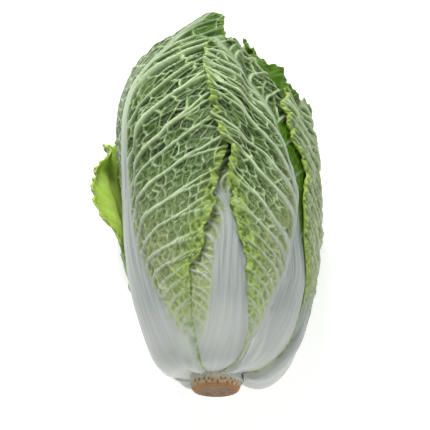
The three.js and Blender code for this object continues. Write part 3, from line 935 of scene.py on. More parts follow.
    def _near_tip(self, p: Sheet) -> np.ndarray:
        """How near each point is to the leaf's tip, from 0 to 1."""
        return smooth(self.tip - self.tip_band, self.tip, p.root)

    def _wave(self, p: Sheet) -> np.ndarray:
        """Waves the free margins.

        Args:
            p: The leaf's points. Their b and phi are moved to where the waves take them.

        Returns:
            How far each point is lifted.
        """
        wave, out = self._frill(p)
        room = (smooth(self.frilled_from, self.frilled_from + self.frill_grows, p.root)
                * np.clip(p.width / 25, 0, 1) * p.on_blade)
        p.phi = p.phi + p.side * np.degrees(out * room / p.radius)
        p.b = p.b + (self._near_tip(p) * self.tip_ripple * np.sin(p.x * 0.75 + self.seed)
                     * smooth(0, 0.3, p.a))
        return wave * room

    def _bed(self, stack: LeafStack, p: Sheet) -> np.ndarray:
        """Finds where the leaf comes to rest, with the margins of its foot tucked in.

        Args:
            stack: The pieces laid so far.
            p: The leaf's points.

        Returns:
            h for each point of its inner face, before it is lifted or shaped.
        """
        loose = smooth(*self.loosens, p.b)
        bed = (stack.sample(stack.bed(self.snug), p.b, p.phi) * (1 - loose)
               + stack.sample(stack.bed(self.drape), p.b, p.phi) * loose)
        tucked = (self.tuck * (1 - smooth(0, 6, p.to_edge)) * (1 - smooth(70, 120, p.b)) * p.on_blade
                  * smooth(-4, 4, p.root))
        return bed + self.clearance - tucked

    def _thickness(self, p: Sheet) -> np.ndarray:
        """Thins the leaf from its midrib to its blade, and from there to its margins.

        Args:
            p: The leaf's points.

        Returns:
            The thickness at each point, without its relief.
        """
        thick = self.thick(p.root) * (0.45 + 0.55 * smooth(-6, 0, p.root))
        rib_edge = self.blade + (thick - self.blade) * 0.65
        thickness = np.where(
            p.on_blade, rib_edge + (self.blade - rib_edge) * smooth(0, 15, p.inward),
            self.blade + (thick - self.blade) * (1 - 0.35 * p.share ** 2))
        to_margin = (1 - smooth(0, 4, p.to_edge)) * p.on_blade
        return thickness + (self.margin_thickness - thickness) * to_margin

    def _frill(self, p: Sheet) -> tuple[np.ndarray, np.ndarray]:
        """The waves of the free margins.

        Args:
            p: The leaf's points.

        Returns:
            How far each place is lifted, and how far it is pushed out past the plain margin.
        """
        along = p.root + self.lag(p.root)
        shift = self.seed * 7 + p.side * 13
        long = 2 * math.pi * along / self.frill_length + 2.2 * wander(along / 34, shift, self.seed)
        short = 2 * math.pi * along / self.crinkle_length + 2.8 * wander(along / 10, shift, self.seed + 3)
        wide, narrow = (1 - smooth(0, reach, p.to_edge) for reach in (self.frill_band, self.crinkle_band))
        lift = (self.frill * (np.sin(long) + 1) / 2 * wide ** 1.5
                + self.crinkle * (np.sin(short) + 1) / 2 * narrow)
        ragged = wander(along / 3.1, shift, self.seed + 5)
        out = 0.9 * np.sin(long + 1.9) * wide + 0.45 * np.sin(short + 1.4) * narrow + 1.2 * ragged * narrow
        return lift, out

    def _side_veins(self, p: Sheet, b: np.ndarray) -> SideVeins:
        """The side veins that sweep from the midrib to the margins, most of them forked.

        Args:
            p: The leaf's points.
            b: Their place along the head, with the wavering of the veins added.

        Returns:
            What the veins make of each point.
        """
        made = SideVeins(strength=np.zeros(b.shape), flank=np.full(b.shape, 99.0),
                         band=np.zeros(b.shape, dtype=int), bulge=np.zeros(b.shape))
        taper = (self.vein_width / 2) * (1 - 0.6 * p.a ** 0.7)
        safe = np.maximum(p.a, 0.02)
        for here, half, sign in ((p.upper, self.high, 1), (~p.upper, self.low, -1)):
            paths = half.vein_paths(self.vein_step, self.tip, self.lag, self.seed + sign)
            below, last = np.zeros(b.shape), paths[0][0] - 8
            made.band = made.band + 100 * here * (sign > 0)
            for k, (root, rise, sweep, *own_size) in enumerate(paths):
                beside = (half.bold * (4 + 8 * float(smooth(40, 120, np.array(root))))
                          * np.exp(-p.inward / 5))
                path = root - beside + rise * p.a ** sweep
                slant = rise * sweep * safe ** (sweep - 1) / np.maximum(p.width, 8) + beside / 5
                slant = np.hypot(1, np.clip(slant, 0, 3))
                luck = float(chance(np.array(k), np.array(sign), self.seed))
                gap = root - last
                size = (0.5 + 0.5 * float(smooth(4, 14, np.array(gap)))) * (0.8 + 0.2 * luck)
                size *= half.bold * (own_size[0] if own_size else 1.0)
                forked = path - (path - below) * 0.5 * smooth(0.3 + 0.35 * luck, 1.25, p.a)
                for line, power in ((path, size), (forked, size * 0.72 if k and gap > 6 else 0.0)):
                    if power:
                        apart = np.abs(b - line) / slant
                        reach = taper * power
                        shown = min(0.5 + 0.5 * power, 1.0) * np.exp(-(apart / reach) ** 2)
                        made.strength = np.where(here, np.maximum(made.strength, shown), made.strength)
                        made.flank = np.where(here, np.minimum(made.flank, apart - 0.8 * reach), made.flank)
                made.band = made.band + (here & (b > path))
                beyond = (b - path) / slant
                slope = np.where(beyond > 0, np.exp(-(beyond / 5.5) ** 2), np.exp(-(beyond / 1.4) ** 2))
                made.bulge = np.where(here, np.maximum(made.bulge, size * slope), made.bulge)
                below, last = path, root
        return made

    def _relief(self, p: Sheet, thin: np.ndarray) -> Relief:
        """Lays out the side veins, the net between them, the blisters that it frames and the creases.

        Args:
            p: The leaf's points.
            thin: How far the blade is the thin, deep green one.

        Returns:
            What stands up and what is sunk.
        """
        b, x, seed = p.b, p.x, self.seed
        waver = 1.1 * wander(x / 13, b / 17, seed) + 0.3 * wander(x / 5, b / 6, seed + 1)
        veins = self._side_veins(p, b + waver * smooth(0, 12, p.inward))

        # the net, in cells that widen towards the tip
        wx = 0.82 * (x + 0.8 * wander(x / 3, b / 3, seed + 2))
        wb = 0.35 * b + 0.65 * p.root + 0.9 * wander(x / 3, b / 3, seed + 4)
        steps = np.arange(-20.0, 340.0)
        dense = 1.25 - 0.5 * smooth(70, 220, steps)
        here, wb = np.interp(wb, steps, dense), np.interp(wb, steps, np.cumsum(dense))
        cell, own = net_cells(wx * here, wb, veins.band, self.net_cell, seed)
        small, tiny = net_cells(wx * here, wb, veins.band, self.small_cell, seed + 6)
        cell, small = cell / here, small / here
        faint = 0.3 + 0.7 * smooth(-0.4, 0.4, wander(x / 5, b / 5, seed + 21))
        coarse = np.exp(-(np.maximum(cell, 0) / 0.34) ** 2) * faint
        fine = np.exp(-(np.maximum(small, 0) / 0.28) ** 2)

        # the blisters and the crumpled margin
        open_blade = smooth(0, 7, p.inward) * p.on_blade
        clear = np.minimum(veins.flank, cell - 0.1)
        floor = smooth(-0.1, 1.5, clear) * (1 - 0.4 * smooth(1.6, 3.6, clear))
        mature = smooth(*self.matures, b)
        crumple = 1 - smooth(3, self.crumple_band, p.to_edge * (1 + 1.6 * mature))
        crumple = crumple * p.grown * open_blade * (1 - 0.4 * mature)
        creased = wander(x / 2.3, b / 2.3, seed + 30) + 0.6 * wander(x / 1.4, b / 1.4, seed + 32)
        puckered = np.maximum(crumple, 0.45 * (1 - smooth(80, 150, b)) * p.grown * open_blade)
        return Relief(veins=veins, coarse=coarse, fine=fine, own=own, tiny=tiny, floor=floor,
                      open_blade=open_blade, mature=mature, bold=1 - 0.65 * thin, crumple=crumple,
                      puckered=puckered, creased=creased)

    def _height(self, p: Sheet, made: Relief) -> np.ndarray:
        """Raises the leaf's outer face.

        Args:
            p: The leaf's points.
            made: What stands up and what is sunk.

        Returns:
            How high each point stands over the blister floors.
        """
        depth = (self.blister_depth * p.grown * made.open_blade * (0.5 + 0.8 * made.own)
                 * (0.55 + 0.65 * made.mature))
        raised = ((self.vein_height - 0.6 * p.a) * made.veins.strength * smooth(-2, 6, p.inward)
                  + self.net_height * made.coarse + self.small_height * made.fine * made.floor)
        bulging = self.bulge * made.veins.bulge * smooth(5, 20, p.inward) * (0.25 + 0.75 * made.mature)
        relief = (depth * (1 - made.floor) * made.bold
                  + p.grown * (raised + bulging) * made.bold) * p.on_blade
        relief = relief + self.crumple * made.puckered * (made.creased + 0.4)
        return relief + self._cords(p) * (1 - smooth(0, 3, p.inward))

    def _cords(self, p: Sheet) -> np.ndarray:
        """The cords that run along the petiole and the midrib.

        Args:
            p: The leaf's points.

        Returns:
            How high they stand at each point.
        """
        stray = 0.3 * wander(p.root / 60, np.sign(p.x) * 2.0, self.seed + 8)
        cords = np.abs(((p.x / self.cord_gap + stray) % 1) - 0.5) * self.cord_gap
        marked = 0.3 + 0.7 * smooth(-0.5, 0.5, wander(p.x / 5, p.root / 80, self.seed + 12))
        return self.cord_height * np.exp(-(cords / 1.5) ** 2) * smooth(6, 50, p.root) * marked

    def _tones(self, p: Sheet, made: Relief, thin: np.ndarray) -> dict[str, np.ndarray]:
        """Finds where the leaf is white, where it is pale, where it is deep green, and where shade and sheen
        are painted.

        Args:
            p: The leaf's points.
            made: What stands up and what is sunk.
            thin: How far the blade is the thin, deep green one.

        Returns:
            The values that the skin's material reads, by name.
        """
        a, b, root, inward, on_blade = p.a, p.b, p.root, p.inward, p.on_blade
        mature, floor, strength = made.mature, made.floor, made.veins.strength

        # the white rib and foot, and the veins that run white into the blade
        edge_of_rib = 1 - smooth(0.3, 3.4, inward) * (1 - mature) - smooth(0.0, 1.0, inward) * mature
        rib = np.where(on_blade, edge_of_rib, 1.0)
        rib = rib * (1 - 0.8 * smooth(self.rib_fades, self.rib_fades + 80, root))
        rimmed = np.where(on_blade, np.maximum(smooth(0.6, 2.4, p.to_edge), 1 - smooth(0, 8, b)), 1.0)
        foot = (1 - smooth(self.white_foot, self.white_foot + 32, b)) * rimmed
        white_vein = strength ** 0.7 * (1 - smooth(4, 30, inward)) * (1 - 0.6 * mature) * on_blade
        rib = np.maximum(np.maximum(rib, foot), white_vein)

        # the pale veins and net
        vein = np.maximum(np.minimum(1.15 * strength, 1), (0.65 + 0.25 * mature) * made.coarse)
        vein = np.maximum(vein, 0.22 * made.fine * floor)
        shown = vein * made.bold * (0.35 + 0.65 * p.grown) * (1 - 0.45 * made.crumple)
        along_rib = np.where(on_blade, 1 - smooth(0.0, 1.3, inward), 1.0)
        greened = smooth(self.rib_fades + 60, self.rib_fades + 120, root)
        vein = np.maximum(np.where(on_blade, shown, 0.0), (0.85 - 0.45 * greened) * along_rib)

        # the deep blister floors and creases, where the skin paints shade
        sunk = (floor * smooth(0, 5, inward) * on_blade * (0.3 + 0.5 * made.own + 0.25 * made.tiny)
                * (0.75 + 0.5 * mature * (0.6 + 0.7 * a)))
        sunk = sunk * (1 - made.puckered) + made.puckered * smooth(0.5, -0.7, made.creased)

        # the yellow-green margin, the painted sheen on the outer face towards the top of the head, and the
        # paler inner face
        band = self.margin_band * (1 + 0.5 * wander(b / 9, p.side, self.seed + 9))
        margin = 1 - smooth(1.0, band, p.to_edge * (1 + 1.2 * smooth(150, 215, b)))
        lining = smooth(self.white_foot + 10, self.white_foot + 45, b) * (1 - 0.85 * thin)
        return {
            "vein": np.clip(vein, 0, 1), "sunk": np.clip(sunk, 0, 1), "rib": rib, "fold": made.crumple,
            "green": smooth(self.green_from, self.green_to, b + 50 * (a - 0.3)), "lush": thin,
            "margin": margin * on_blade * smooth(22, 62, root) * (1 - 0.7 * thin),
            "painted_sheen": smooth(130, 250, b) * (1 - 0.7 * smooth(252, 276, b)) * smooth(0, 0.1, a),
            "inside": np.where(p.outer, 0.0, lining),
            "place": np.stack([p.x, b, p.side * 20], axis=-1) / 1000}


def leaves() -> list[CabbageLeaf]:
    """The head's loose leaves.

    Returns:
        The leaves in the order in which they are laid, from the innermost to the outermost.
    """
    # the small leaf on top, whose petiole stands between the two big ones
    front = CabbageLeaf(
        name="front_leaf_skin", node="front_leaf", tip=200, seed=2.0, rows=220, rib_columns=24,
        midrib=Curve(((0, 98), (12, 91), (30, 85), (55, 83), (80, 82.4), (104, 81.7), (117, 83),
                      (126, 87), (136, 92), (200, 98))),
        low=LeafSide(Curve(((0, 66), (10, 58), (20, 54), (50, 54), (90, 50), (140, 46), (200, 66))),
                     40),
        high=LeafSide(Curve(((0, 124), (20, 128), (50, 128), (90, 130), (140, 136), (200, 124))), 44,
                      veins=((22, 9, 0.9), (30, 11, 0.9), (38, 13, 0.9), (46, 15, 0.9), (52, 16, 0.9),
                             (57, 17, 0.9), (67, 18, 0.9), (73, 18, 0.9), (82, 18, 0.9), (96, 18, 0.9),
                             (105, 18, 0.9), (118, 18, 0.9), (134, 18, 0.9), (152, 16, 0.9),
                             (175, 9, 0.9))),
        petiole=Curve(((0, 12), (10, 14), (20, 14), (35, 12.5), (50, 11), (66, 10), (80, 9.4),
                       (95, 7.4), (107, 5), (118, 2.2), (128, 1.3), (200, 1))),
        thick=Curve(((-8, 2.8), (-3, 3.6), (0, 4.4), (5, 5.7), (12, 6.9), (30, 6.2), (60, 4.8),
                     (100, 3.2), (150, 2.2), (200, 1.4))),
        lag=Curve(((0, 0), (30, 10), (60, 15), (80, 14), (105, 12), (150, 10), (200, -9))),
        vein_step=9.0, vein_width=2.2, blister_depth=1.0)
    # the big leaf on the left, which wraps over the top and the crown
    left = CabbageLeaf(
        name="left_leaf_skin", node="left_leaf", tip=302, seed=5.0, rows=370, rib_columns=16,
        vein_width=3.1,
        midrib=Curve(((0, 158), (15, 152), (30, 151), (60, 154), (90, 157), (125, 159), (159, 157),
                      (189, 152), (211, 147), (228, 139), (245, 126), (262, 112), (280, 98),
                      (304, 86))),
        low=LeafSide(Curve(((0, 109), (20, 108), (41, 112), (60, 110), (77, 108), (84, 102), (93, 98),
                            (104, 98), (113, 93), (129, 92), (147, 88), (158, 84), (175, 80), (200, 76),
                            (230, 70), (250, 66), (262, 65), (280, 66), (304, 72))), 132,
                     lush=Curve(((258, 0), (272, 0.5), (304, 0.5))),
                     veins=((20, 7, 0.9), (28, 9, 0.9), (35, 11, 0.9), (43, 13, 0.9), (50, 14, 0.9),
                            (57, 15, 0.9), (64, 15, 1.0), (74, 15, 1.1), (86, 15, 1.2), (96, 30, 1.2),
                            (109, 35, 1.2), (125, 46, 1.2), (137, 58, 1.2, 0.7), (147, 70, 1.2, 1.25),
                            (167, 79, 1.2, 1.25), (191, 70, 1.1, 0.7), (218, 48, 0.8, 1.6),
                            (236, 34, 0.7, 0.6), (254, 22, 0.7, 0.6), (274, 14, 0.8, 0.8))),
        high=LeafSide(Curve(((0, 232), (20, 224), (40, 212), (60, 204), (100, 203), (150, 210),
                             (200, 214), (240, 210), (258, 180), (272, 130), (304, 94))), 36,
                      lush=Curve(((275, 0), (290, 1), (304, 1))), relief=0.12, bold=0.7,
                      veins=((24, 12, 0.9), (38, 14, 0.9), (52, 18, 0.9), (66, 22, 0.9), (80, 26, 0.9),
                             (96, 30, 0.9), (112, 34, 0.9), (128, 36, 0.9), (146, 36, 0.8))),
        petiole=Curve(((0, 21), (20, 22), (40, 21), (60, 17.5), (90, 11.5), (125, 7.6), (160, 4.8),
                       (200, 3), (240, 1.8), (304, 1.1))),
        thick=Curve(((0, 1.6), (6, 4), (14, 6.2), (30, 6.5), (60, 5.5), (100, 4.6), (150, 3.6),
                     (200, 2.8), (304, 1.5))), stand=Curve(((254, 0), (266, 3.5), (278, 6), (304, 8))),
        net_cell=6.2, rib_fades=150.0,
        lag=Curve(((0, 0), (30, 12), (60, 26), (100, 42), (150, 48), (200, 40), (250, 18), (304, -11))))
    # the leaf that the head lies on
    under = CabbageLeaf(
        name="under_leaf_skin", node="under_leaf", tip=294, seed=8.0, rows=200, rib_columns=16,
        slot=Slot.OUTER_LEAF, midrib=Curve(((0, 270), (50, 269), (150, 268), (294, 270))),
        low=LeafSide(Curve(((0, 232), (20, 230), (60, 222), (100, 214), (150, 207), (200, 202),
                            (240, 199), (294, 190))), 56),
        high=LeafSide(Curve(((0, 311), (20, 312), (60, 320), (100, 331), (150, 343), (200, 362),
                             (240, 383), (294, 378))), 72, lush=Curve(((190, 0), (215, 1), (294, 1))),
                      lush_from=Curve(((190, 0.78), (294, 0.78)))),
        petiole=Curve(((0, 17), (30, 22), (60, 25), (100, 25), (150, 22), (200, 14), (240, 6),
                       (294, 1.6))),
        thick=Curve(((0, 2), (8, 5), (30, 6), (60, 6), (100, 6.4), (125, 5.6), (150, 4.6), (200, 3.4),
                     (240, 2.4), (294, 1.5))),
        lag=Curve(((0, 0), (50, 14), (90, 36), (130, 56), (160, 60), (200, 42), (240, 18), (294, -12))))
    # the big leaf on the right, whose low side is thin and deep green
    right = CabbageLeaf(
        name="right_leaf_skin", node="right_leaf", tip=254, seed=11.0, rows=344, rib_columns=16,
        vein_width=2.9, net_cell=5.8,
        midrib=Curve(((0, 52), (15, 45), (26, 42.5), (33, 41), (45, 36.5), (57, 34), (69, 32),
                      (78, 30.5), (85, 31), (92, 33), (106, 37.5), (119, 38.5), (133, 40.5), (160, 45),
                      (190, 48), (201, 51), (212, 56), (221, 61), (232, 69), (243, 75), (254, 78))),
        low=LeafSide(Curve(((0, 2), (20, 4), (60, 0), (100, -4), (150, -4), (180, 2), (200, 8),
                            (215, 13), (228, 20), (238, 27), (246, 35), (254, 44))), 72,
                     flare=Curve(((210, 0), (226, 1), (238, 2), (246, 2), (254, 1))),
                     lush=Curve(((60, 0), (100, 1), (262, 1))),
                     lush_from=Curve(((188, -0.12), (197, 0.3), (208, 0.48), (222, 0.56), (240, 0.6),
                                      (254, 0.6))), bold=0.5,
                     veins=((40, 14, 1.0), (70, 24, 1.0), (110, 34, 1.0), (150, 30, 1.1),
                            (176, 30, 1.2), (194, 26, 1.2), (210, 20, 1.2), (225, 14, 1.2),
                            (238, 7, 1.0))),
        high=LeafSide(Curve(((0, 82), (5, 77), (10, 74), (16, 70), (26, 68), (36, 68), (47, 70),
                             (87, 75), (97, 78), (106, 81), (125, 83), (140, 85), (147, 84), (156, 82),
                             (163, 85), (168, 88), (178, 89), (210, 89), (238, 87), (250, 82))), 96,
                      veins=((18, 8, 0.9), (25, 11, 0.9), (32, 13, 0.9), (40, 16, 0.9), (48, 19, 0.9),
                             (55, 22, 0.9), (62, 25, 0.9), (70, 28, 0.9), (78, 31, 0.95), (88, 38, 1.0),
                             (99, 50, 1.1), (121, 46, 1.1), (136, 46, 1.0), (148, 64, 1.0),
                             (168, 50, 0.9), (188, 34, 0.8), (206, 20, 0.8), (222, 8, 0.8),
                             (236, 3, 0.8))),
        petiole=Curve(((0, 12.5), (15, 13), (26, 16), (33, 17.5), (45, 18.5), (57, 18), (69, 17),
                       (78, 16), (85, 13.5), (92, 10.3), (100, 6.6), (108, 4.8), (119, 3.4), (135, 2.2),
                       (150, 1.8), (200, 1.2), (254, 0.9))),
        thick=Curve(((0, 1.6), (6, 4), (14, 5.8), (30, 6), (60, 4.6), (100, 3.2), (150, 2.2),
                     (200, 1.8), (254, 1.2))),
        lag=Curve(((0, 0), (30, 12), (60, 28), (100, 46), (150, 44), (200, 18), (232, 0), (255, -7))))
    # the narrow leaf low on the left, whose margin curls away from the head
    left_outer = CabbageLeaf(
        name="left_outer_leaf_skin", node="left_outer_leaf", tip=210, seed=14.0, rows=200,
        rib_columns=12, slot=Slot.OUTER_LEAF, margin_band=60.0, blister_depth=0.8,
        midrib=Curve(((0, 234), (30, 230), (60, 221), (100, 217), (150, 212), (210, 208))),
        low=LeafSide(Curve(((0, 218), (20, 212), (60, 204), (90, 201), (112, 199), (135, 188),
                            (210, 192))), 36,
                     flare=Curve(((85, 0), (112, 0.5), (126, 2), (136, 8), (148, 16), (162, 19),
                                  (176, 17), (186, 12), (192, 5), (197, 3), (203, 6), (210, 3))),
                     bold=0.5),
        high=LeafSide(Curve(((0, 250), (25, 248), (60, 238), (100, 234), (150, 231), (210, 225))), 24),
        petiole=Curve(((0, 8), (30, 11), (60, 12), (100, 10), (150, 6), (210, 1.8))),
        thick=Curve(((0, 1), (10, 2), (30, 4), (50, 6), (70, 6), (100, 4.6), (150, 2.6), (210, 1.4))),
        lag=Curve(((0, 0), (50, 24), (100, 32), (150, 28), (180, 14), (210, -9))))
    # the leaf low on the right, which lies close along the flank
    right_outer = CabbageLeaf(
        name="right_outer_leaf_skin", node="right_outer_leaf", tip=216, seed=17.0, rows=250,
        rib_columns=14, slot=Slot.OUTER_LEAF,
        midrib=Curve(((0, -10), (50, -16), (100, -20), (140, -20), (170, -14), (190, -4), (204, 8),
                      (216, 20))),
        low=LeafSide(Curve(((0, -46), (20, -48), (60, -54), (140, -54), (170, -44), (190, -30),
                            (204, -8), (216, 12))), 46),
        high=LeafSide(Curve(((0, 22), (15, 29), (23, 26), (36, 20), (50, 19), (67, 16), (81, 18),
                             (90, 22), (105, 29), (123, 31), (137, 32), (150, 28), (160, 27), (168, 32),
                             (176, 38), (186, 40), (196, 43), (206, 42), (216, 33))), 64),
        petiole=Curve(((0, 15), (30, 18), (60, 14), (100, 8), (150, 4.5), (200, 2.4), (216, 1.4))),
        thick=Curve(((-8, 3), (0, 5), (6, 8.5), (12, 10.5), (25, 9.5), (45, 6.5), (70, 5), (100, 4.2),
                     (150, 3), (200, 2.2), (216, 1.4))), drape=3.0, green_to=270.0, white_foot=52.0,
        frilled_from=76.0, frill=1.5, crinkle=1.3, crumple_band=9.0,
        lag=Curve(((0, 0), (50, 30), (100, 42), (150, 40), (190, 22), (232, -8))), vein_step=9.0)
    return [front, left, under, right, left_outer, right_outer]


# ---- heart and stem -------------------------------------------------------------------------------
@dataclass
class Wrap:
    """Which inner leaf is on top at each place of the heart, and where on it. Millimetres."""

    leaf: np.ndarray  # its number
    across: np.ndarray  # distance from its middle
    along: np.ndarray  # distance along it
    to_edge: np.ndarray  # distance in from its edge


@dataclass
class PackedHeart:
    """The tight inner leaves, as one dense body whose leaf edges stand out at the crown."""

    wrapping_leaves: int = 7
    spiral: float = 137.5  # degrees from one leaf to the next
    step: float = 1.3  # between two leaves that lie on one another
    rings: int = 210
    columns: int = 230
    vein_gap: float = 15.0  # between the side veins of the leaves at the crown
    net_cell: float = 8.5  # across a cell of their net

    def build(self, form: HeadForm, stack: LeafStack, skin: bpy.types.Material) -> bpy.types.Object:
        """Makes the heart, starts the stack with it and dresses it.

        Args:
            form: The head's form, which the heart fills.
            stack: The stack that the leaves will be laid on.
            skin: Its finish.

        Returns:
            The heart's object.
        """
        ball = bmesh.new()
        bmesh.ops.create_uvsphere(ball, u_segments=self.columns, v_segments=self.rings, radius=1.0)
        mesh = bpy.data.meshes.new("heart_leaves_skin")
        ball.to_mesh(mesh)
        ball.free()
        x, y, z = corners(mesh).T
        pole = np.abs(z) > 0.99999

        # most of the rings go to the crown, the only part of the heart that shows
        ring = 1 - np.arccos(np.clip(z, -1, 1)) / math.pi
        share = np.interp(ring, (0, 0.32, 0.45, 1), (0, 0.62, 0.74, 1))
        b = share * (form.length + form.lead) - form.lead
        phi = np.degrees(-np.arctan2(y, x)) % 360
        h, wrap = self._wrap(b, phi, form)
        low, values = self._crown(b, wrap)
        points = form.place(b, phi, h - low)

        # the two poles stand on the head's bent middle line
        foot, crown = form.place(np.array([-form.lead, form.length]), np.zeros(2), np.zeros(2))
        middle = np.where((z < 0)[:, None], foot, crown)
        strayed = np.where(z < 0, form.bend(np.array(14.0)), form.bend(np.array(287.0)))
        middle[:, 0] = strayed + form.middle_x
        move_corners(mesh, np.where(pole[:, None], middle, points))
        for name, value in values.items():
            paint(mesh, name, value)
        paint(mesh, "place", np.stack([np.radians(phi) * 40, b, h], axis=-1) / 1000)
        keep = ~pole
        stack.cover(b[keep], phi[keep], h[keep])
        piece = finished("heart_leaves_skin", mesh, skin)
        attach(piece, "root")
        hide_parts("heart")
        return piece

    def _wrap(self, b: np.ndarray, phi: np.ndarray, form: HeadForm) -> tuple[np.ndarray, Wrap]:
        """Wraps the inner leaves over one another. Two more close the middle of the crown.

        Args:
            b: Place along the head.
            phi: Place round it.
            form: The head's form.

        Returns:
            How high the leaves stand at each place, and what is on top there.
        """
        height = np.full(b.shape, -self.step * 3)
        along, beside = ((form.length - b) * part(np.radians(phi)) for part in (np.cos, np.sin))
        seam = beside + 5 * np.sin(along / 11) + 2
        leaf = np.where(seam > 0, self.wrapping_leaves, self.wrapping_leaves + 1)
        across = np.where(seam > 0, beside - 15, beside + 12)
        to_edge = np.where(seam > 0, seam, 9.0)
        degree = np.radians(1) * np.maximum(form.radius(b), 4)
        for k in range(self.wrapping_leaves):
            turn = (phi - k * self.spiral + 540) % 360 - 180
            ragged = 3 * wander(b / 5, np.full(b.shape, k * 3.0), 41)
            reach = 62 + 9 * np.sin(b * 0.33 + k * 2.1) - 0.25 * k + ragged
            end = 250 + 8.5 * k + 5 * np.cos(np.radians(turn) * 6 + k)
            edge = np.minimum(1 - smooth(-4, 0, np.abs(turn) - reach), 1 - smooth(-2.5, 0, b - end))
            top = -self.step * (k * 0.45) - (1 - edge) * self.step * 3
            over = top > height
            height = np.where(over, top, height)
            leaf, along = np.where(over, k, leaf), np.where(over, b, along)
            across = np.where(over, turn * degree, across)
            to_edge = np.where(over, np.minimum((reach - np.abs(turn)) * degree, end - b), to_edge)
        height = np.minimum(height + 0.3 * wander(b / 5, phi / 6, 43), -0.05)
        return height, Wrap(leaf.astype(int), across, along, np.maximum(to_edge, 0))

    def _crown(self, b: np.ndarray, wrap: Wrap) -> tuple[np.ndarray, dict[str, np.ndarray]]:
        """The ribs, veins and blisters of the leaves that close the crown.

        Args:
            b: Place along the head.
            wrap: What is on top at each place.

        Returns:
            How far each place lies under the leaf's highest face, and the painted values by name.
        """
        leaf, across, along = wrap.leaf, wrap.across, wrap.along
        at_crown = smooth(205, 235, b)
        rows = along - 1.1 * np.abs(across) + 1.5 * wander(across / 9, along / 9, 61)
        branch = np.abs((rows + leaf * 5) % self.vein_gap - self.vein_gap / 2)
        rib_width = 0.8 + 0.04 * np.clip(275 - b, 0, 40)
        veins = np.maximum(np.exp(-(branch / 0.8) ** 2), np.exp(-(across / rib_width) ** 2))
        cell, own = net_cells(across + wander(across / 4, along / 4, 62),
                              along + wander(along / 4, across / 4, 63), leaf, self.net_cell, 64)
        small, _ = net_cells(across, along, leaf, self.net_cell / 2.6, 65)
        net = np.maximum(0.7 * np.exp(-(cell / 0.6) ** 2), 0.3 * np.exp(-(small / 0.45) ** 2))
        raised = np.maximum(veins, net)
        ruffle = wander(across / 2.6, along / 2.6, 66) * (1 - smooth(2, 9, wrap.to_edge))
        low = at_crown * (0.35 * leaf + 1.1 * (1 - raised) * (0.5 + 0.5 * own) + 0.7 * ruffle + 0.7)
        edge = 1 - smooth(1.0, 4.5, wrap.to_edge)
        plain = np.zeros(b.shape)
        # sunk paints shade over all of the heart below the crown, and in the cells between the veins there;
        # the last value paints a pale sheen on the crown
        return low, {
            "vein": np.clip(at_crown * np.maximum(raised, 0.25 * edge), 0, 1),
            "sunk": np.clip(1 - at_crown * (0.45 * own + raised + 0.5 * edge), 0, 1),
            "green": smooth(60, 230, b) * (1 - 0.3 * at_crown), "rib": plain, "margin": at_crown * edge,
            "lush": 0.5 * at_crown * (1 - 0.5 * own), "painted_sheen": 0.35 * at_crown, "inside": plain}


